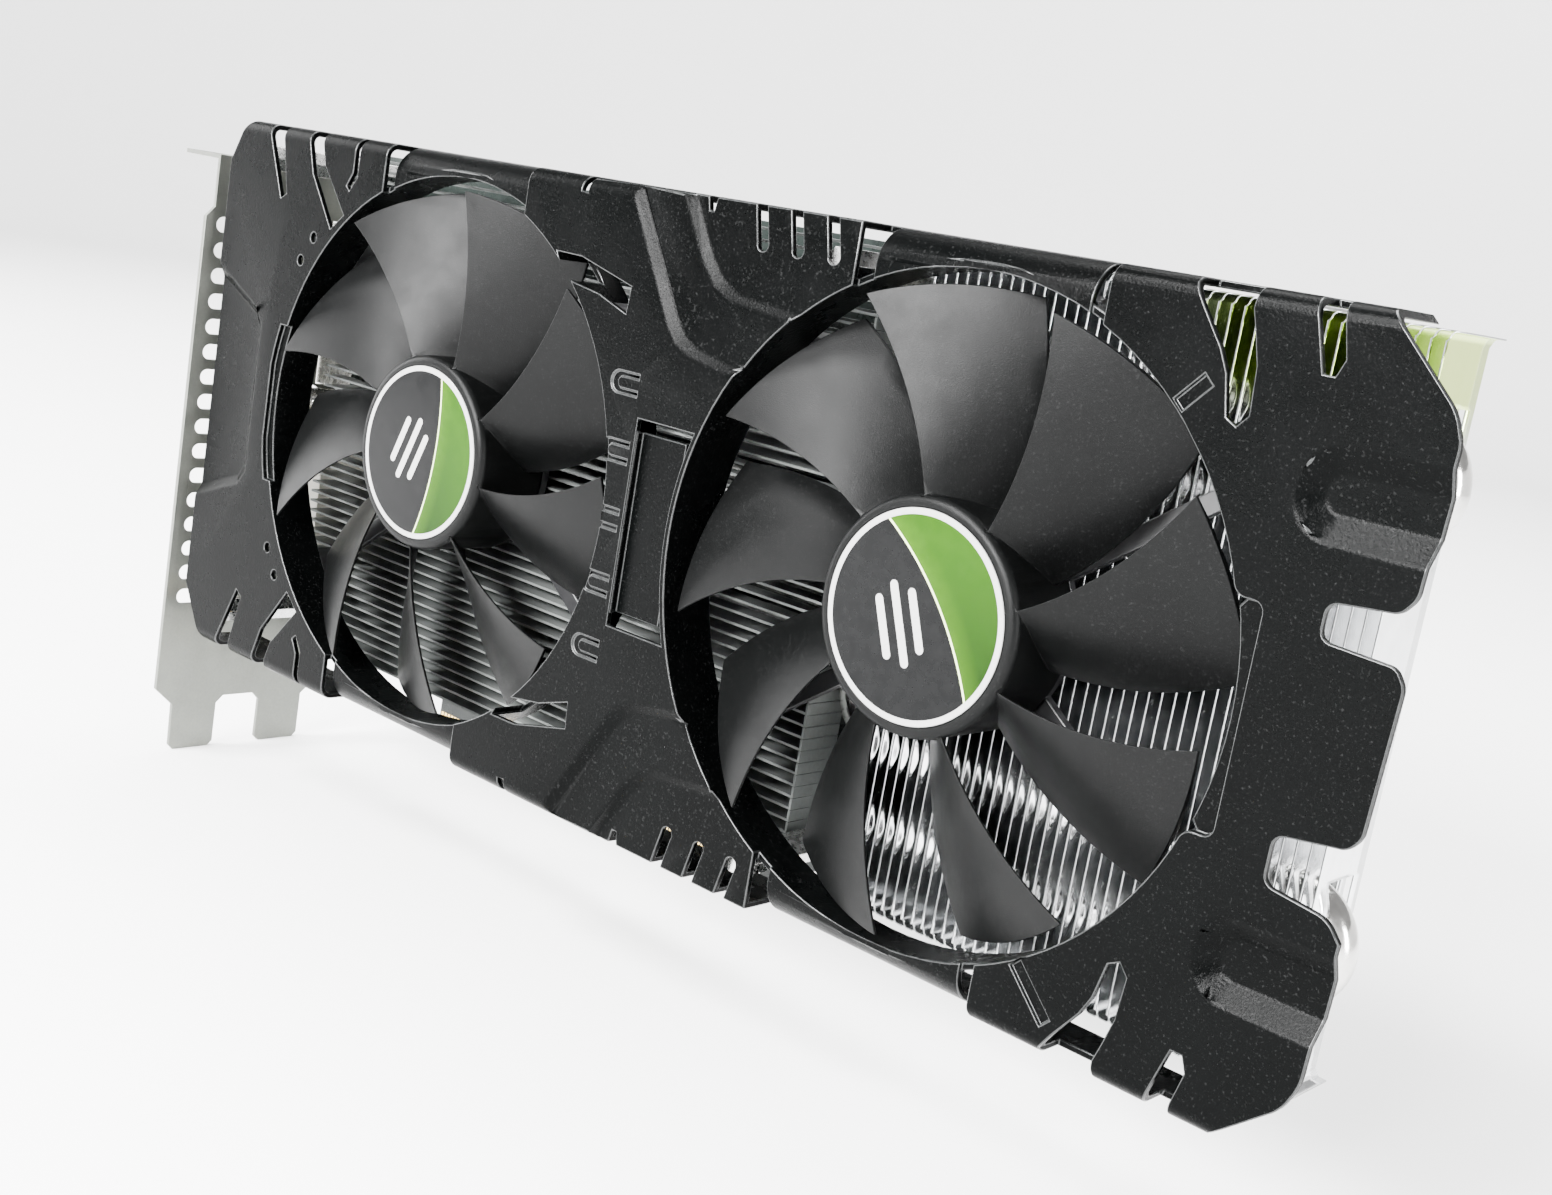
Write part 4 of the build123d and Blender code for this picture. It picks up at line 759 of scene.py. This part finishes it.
def finished(work, name, looks, slot, *stood_for):
    """Turn a bmesh into a piece on the card with one or more finishes."""
    mesh = closed(work, name)
    for look in looks:
        mesh.materials.append(look)
    smoothed(mesh, DETAIL_ANGLE)
    return piece(name, mesh, "card", slot, *stood_for)


def chip_box(work, x0, x1, y0, y1, z0, z1, material_index):
    """A box between two corners."""
    corners = [work.verts.new(stood(x, y, z))
               for x in (x0, x1) for y in (y0, y1) for z in (z0, z1)]
    for face in BOX_FACES:
        work.faces.new([corners[i] for i in face]).material_index = material_index


def passives(name, places, *stood_for):
    """Small ceramic parts with tinned ends: (x, y, along, across, height, side) each."""
    work = bmesh.new()
    for x, y, along, across, height, side in places:
        z0, z1 = (0.0, height) if side > 0 else (BACK - height, BACK)
        inner = (z0, z1 - SET_DOWN) if side > 0 else (z0 + SET_DOWN, z1)
        if along >= across:
            cap = along * TINNED
            chip_box(work, x - along / 2 + cap, x + along / 2 - cap, y - across / 2 + SET_IN,
                     y + across / 2 - SET_IN, *inner, 0)
            for sign in (-1, 1):
                ends = sorted((x + sign * along / 2, x + sign * (along / 2 - cap)))
                chip_box(work, *ends, y - across / 2, y + across / 2, z0, z1, 1)
        else:
            cap = across * TINNED
            chip_box(work, x - along / 2 + SET_IN, x + along / 2 - SET_IN, y - across / 2 + cap,
                     y + across / 2 - cap, *inner, 0)
            for sign in (-1, 1):
                ends = sorted((y + sign * across / 2, y + sign * (across / 2 - cap)))
                chip_box(work, x - along / 2, x + along / 2, *ends, z0, z1, 1)
    rounded(finished(work, name, (CERAMIC, SOLDER), "ceramic", *stood_for), PASSIVE_BEVEL)


def dome(work, x, y, size, rings=JOINT_RINGS, turns=JOINT_TURNS):
    """A solder joint standing off the board's back; size is its radius and height."""
    radius, height = size
    last = None
    for ring in range(rings + 1):
        angle = ring / rings * math.pi / 2
        r, z = radius * math.cos(angle), BACK - height * math.sin(angle)
        row = [work.verts.new(stood(x + r * math.cos(2 * math.pi * i / turns),
                                    y + r * math.sin(2 * math.pi * i / turns), z))
               for i in range(turns if ring < rings else 1)]
        if last:
            band(work, last, row, turns)
        last = row


def ribbon(work, points, width):
    """A flat trace through a few points on the board's back."""
    rows = []
    for index, (x, y) in enumerate(points):
        before = points[max(index - 1, 0)]
        after = points[min(index + 1, len(points) - 1)]
        dx, dy = after[0] - before[0], after[1] - before[1]
        length = math.hypot(dx, dy)
        nx, ny = -dy / length * width / 2, dx / length * width / 2
        rows.append((work.verts.new(stood(x + nx, y + ny, BACK - TRACE_LIFT)),
                     work.verts.new(stood(x - nx, y - ny, BACK - TRACE_LIFT))))
    for (a, b), (c, d) in zip(rows, rows[1:]):
        work.faces.new((a, b, d, c))


def make_joints():
    """Solder joints of every part whose legs pass through the board."""
    work = bmesh.new()
    for column in range(VIDEO_COLUMNS):
        for x in VIDEO_X:
            dome(work, x, VIDEO_Y + VIDEO_PITCH * (column - (VIDEO_COLUMNS - 1) / 2), PIN)
    for y, half in EAR_Y:
        for x in EAR_X:
            for sign in (-1, 1):
                dome(work, x, y + sign * half, EAR)
    for column in range(POWER_COLUMNS):
        for y in POWER_Y:
            dome(work, POWER_X + POWER_PITCH * column, y, POWER_PIN)
    for index in range(COIL_COUNT):
        for sign in (-1, 1):
            dome(work, COIL_X, COIL_Y + COIL_PITCH * index + COIL_HALF * sign, COIL_LEAD)
    for x, y in CANS:
        for sign in (-1, 1):
            dome(work, x + CAN_HALF * sign, y, PIN)
    for x0 in HEADER_X:
        for pin in range(HEADER_PINS):
            dome(work, x0 + HEADER_PITCH * pin, HEADER_Y, HEADER_PIN)
    finished(work, "solder_joints", (SOLDER,), "gold")


def make_vias():
    """Small plated holes, in rows round the supply and scattered elsewhere."""
    work = bmesh.new()
    places = [(first + step * i, VIA_Y + VIA_PITCH * j)
              for first, step, count in VIA_COLUMNS for i in range(count) for j in range(VIA_COUNT)]
    places += [(CHANCE.uniform(*SCATTER_X), CHANCE.uniform(*SCATTER_Y))
               for _ in range(SCATTER_COUNT)]
    for x, y in places:
        if math.hypot(x - CHIP_X, y - CHIP_Y) > CHIP_CLEAR:
            dome(work, x, y, VIA, VIA_RINGS, VIA_TURNS)
    finished(work, "plated_holes", (SOLDER,), "gold")


def make_traces():
    """Bundles of covered traces on the board's back."""
    work = bmesh.new()
    for index in range(CONTACT_COUNT):
        x = CONTACT_X + index * CONTACT_STEP
        goal = BALL_X + index * BALL_STEP
        rise = CONTACT_RISE + CONTACT_SPREAD * abs(index - CONTACT_COUNT // 2)
        run = abs(goal - x)
        points = [(x, CONTACT_Y), (x, rise)]
        if rise + run < CONTACT_LIMIT:
            points += [(goal, rise + run), (goal, BALL_Y)]
        ribbon(work, points, TRACE_WIDE)
    for sign in (-1, 1):
        for index in range(OUTWARD_COUNT):
            y = CHIP_Y + sign * (OUTWARD_Y + index * OUTWARD_STEP)
            for way, reach, bend in OUTWARD:
                end = CHIP_X + way * reach + way * index * OUTWARD_STEP
                ribbon(work, [(CHIP_X + way * OUTWARD_START, y), (end - way * bend, y),
                              (end, y + sign * bend), (end, y + sign * (bend + OUTWARD_RUN))],
                       TRACE_WIDE)
    for index in range(SOCKET_COUNT):
        x = SOCKET_START + index * SOCKET_STEP
        y0, y1, y2 = (y + step * index for y, step in (SOCKET_Y0, SOCKET_Y1, SOCKET_Y2))
        ribbon(work, [(SOCKET_X, y0), (x, y0), (x, y1), (x + SOCKET_BEND, y2), (SOCKET_END, y2)],
               TRACE_NARROW)
    finished(work, "board_traces", (TRACE,), "board")


def make_springs():
    """Compression springs under the heads of the four chip screws."""
    work = bmesh.new()
    for cx, cy in ((CHIP_X + sx * CROSS_REACH, CHIP_Y + sy * CROSS_REACH)
                   for sx in (-1, 1) for sy in (-1, 1)):
        last = None
        for step in range(SPRING_STEPS + 1):
            turn = 2 * math.pi * SPRING_TURNS * step / SPRING_STEPS
            z = SPRING_TOP + (SPRING_FOOT - SPRING_TOP) * step / SPRING_STEPS
            row = []
            for side in range(SPRING_SIDES):
                angle = 2 * math.pi * side / SPRING_SIDES
                r = SPRING_R + SPRING_WIRE * math.cos(angle)
                row.append(work.verts.new(stood(cx + r * math.cos(turn), cy + r * math.sin(turn),
                                                z + SPRING_WIRE * math.sin(angle))))
            if last:
                band(work, last, row, SPRING_SIDES)
            last = row
    finished(work, "chip_springs", (STEEL,), "screw_steel", "cross_springs")


def make_passives():
    """Small ceramic parts: those the CAD places, and more on the board's back."""
    half = CORE_PITCH * (CORE_COUNT - 1) // 2
    core = [(CHIP_X - half + CORE_PITCH * i, CHIP_Y - half + CORE_PITCH * j, *CORE_SIZE, -1)
            for i in range(CORE_COUNT) for j in range(CORE_COUNT)]
    passives("core_capacitors", core, "back_capacitors")
    front = []
    for index in range(RIM_COUNT):
        shift = RIM_START + RIM_PITCH * index
        for sign in (-1, 1):
            front.append((CHIP_X + shift, CHIP_Y + sign * RIM_Y, *RIM_SIZE, RIM_HEIGHT, 1))
            front.append((CHIP_X + sign * RIM_X, CHIP_Y + shift, *RIM_SIZE[::-1], RIM_HEIGHT, 1))
    first_x, step, y, count = FRONT_ROW
    front += [(first_x + index * step, y, *FRONT_ROW_SIZE, 1) for index in range(count)]
    passives("front_capacitors", front, "ceramic_capacitors")
    more = []
    for dx, dy in GROUPS:
        for i in range(3):
            for j in range(2):
                x = CHIP_X + dx - GROUP_STEP_X + GROUP_STEP_X * i
                y = CHIP_Y + dy - GROUP_STEP_Y // 2 + GROUP_STEP_Y * j
                if abs(abs(x - CHIP_X) - abs(y - CHIP_Y)) > ARM_CLEAR:
                    more.append((x, y, *GROUP_SIZE, -1))
    first_x, step, y, count = BACK_ROW
    more += [(first_x + index * step, y, *BACK_ROW_SIZE, -1) for index in range(count)]
    more += [(x, first_y + index * SUPPLY_STEP, *size, -1)
             for index in range(SUPPLY_COUNT) for x, first_y, *size in SUPPLY]
    for _ in range(LOOSE_COUNT):
        x, y = CHANCE.uniform(*LOOSE_X), CHANCE.uniform(*LOOSE_Y)
        if all(math.hypot(x - sx, y - sy) > STANDOFF_CLEAR for sx, sy in STANDOFFS):
            more.append((x, y, *CHANCE.choice(LOOSE_SIZES), LOOSE_HEIGHT, -1))
    passives("back_passives", more)


make_joints()
make_vias()
make_traces()
make_springs()
make_passives()

# ---------------------------------------------------------------- stage, lights and camera
# sizes and places in this section are in metres
FLOOR_FLAT, FLOOR_RIM, FLOOR_UP, FLOOR_TURNS = 1.6, 1.0, 26, 96
# name, place from the card's middle, size, watts; each is aimed at the card's middle
LIGHTS = (
    ("light_over", (-0.1, 0.35, 1.2), (1.0, 0.8), 34.0),
    ("light_front", (-0.10, -1.10, 0.50), (0.55, 0.25), 120.0),
    ("light_rib", (0.33, -1.17, 0.45), (0.20, 0.16), 34.0),
    ("light_right", (1.25, -0.10, 0.12), (0.30, 0.80), 36.0),
    ("light_left", (-0.42, -0.80, 0.92), (0.40, 0.30), 60.0),
    ("light_side", (-1.15, -0.22, 0.30), (0.60, 0.90), 21.0),
)
WALL_PLACE, WALL_TARGET = (-0.2, 0.7, 1.7), (-1.3, 2.2, 0.0)
WALL_SIZE, WALL_WATTS = (1.2, 0.8), 70.0
SKY_COLOUR, SKY_STRENGTH = (1.0, 1.0, 1.0, 1.0), 0.55
LENS, SENSOR, CLIP = 43.34, 36.0, (0.01, 20.0)   # lens and sensor width in millimetres
CAMERA_AT = (0.325758, -0.234743, 0.111214)
CAMERA_RIGHT = Vector((0.73231, 0.66040, 0.16610))
CAMERA_UP = Vector((-0.25277, 0.03713, 0.96681))
CAMERA_FORWARD = Vector((-0.63232, 0.74999, -0.19412))
centre = (cad_lo + cad_hi) / 2


def make_floor():
    """A pale round floor that curves up into a wall all round."""
    work = bmesh.new()
    profile = [(0.0, 0.0), (FLOOR_FLAT, 0.0)]
    for index in range(1, FLOOR_UP + 1):
        angle = math.pi / 2 * index / FLOOR_UP
        profile.append((FLOOR_FLAT + FLOOR_RIM * math.sin(angle),
                        FLOOR_RIM * (1 - math.cos(angle))))
    rows = []
    for radius, height in profile:
        rows.append([work.verts.new((centre.x + radius * math.cos(2 * math.pi * i / FLOOR_TURNS),
                                     centre.y + radius * math.sin(2 * math.pi * i / FLOOR_TURNS),
                                     cad_lo.z + height))
                     for i in range(FLOOR_TURNS if radius else 1)])
    for low, high in zip(rows, rows[1:]):
        band(work, low, high, FLOOR_TURNS)
    mesh = closed(work, "floor")
    mesh.shade_smooth()
    mesh.materials.append(finish("floor_pale", (0.86, 0.86, 0.86), rough=0.8, spread=0.01,
                                 patch=0.002, grain=0.02, bump=0.0, specular=0.1))
    made = bpy.data.objects.new("floor", mesh)
    bpy.context.scene.collection.objects.link(made)


def area_light(name, place, target, size, watts):
    """A soft rectangular light aimed at a point."""
    light = bpy.data.lights.new(name, "AREA")
    light.shape = "RECTANGLE"
    light.size, light.size_y = size
    light.energy = watts
    made = bpy.data.objects.new(name, light)
    made.location = place
    made.rotation_mode = "QUATERNION"
    made.rotation_quaternion = (target - place).to_track_quat("-Z", "Y")
    bpy.context.scene.collection.objects.link(made)


def make_camera():
    """The camera at the photograph's angle."""
    camera = bpy.data.cameras.new("camera")
    camera.lens, camera.sensor_width = LENS, SENSOR
    camera.clip_start, camera.clip_end = CLIP
    made = bpy.data.objects.new("camera", camera)
    bpy.context.scene.collection.objects.link(made)
    turned = Matrix((CAMERA_RIGHT, CAMERA_UP, -CAMERA_FORWARD)).transposed().to_4x4()
    made.matrix_world = Matrix.Translation(CAMERA_AT) @ turned
    bpy.context.scene.camera = made


make_floor()
for light_name, light_place, light_size, light_watts in LIGHTS:
    area_light(light_name, centre + Vector(light_place), centre, light_size, light_watts)
area_light("light_wall", centre + Vector(WALL_PLACE), centre + Vector(WALL_TARGET), WALL_SIZE,
           WALL_WATTS)
world = bpy.data.worlds.new("studio")
bpy.context.scene.world = world
world.use_nodes = True
sky = world.node_tree.nodes["Background"]
sky.inputs["Color"].default_value = SKY_COLOUR
sky.inputs["Strength"].default_value = SKY_STRENGTH
make_camera()
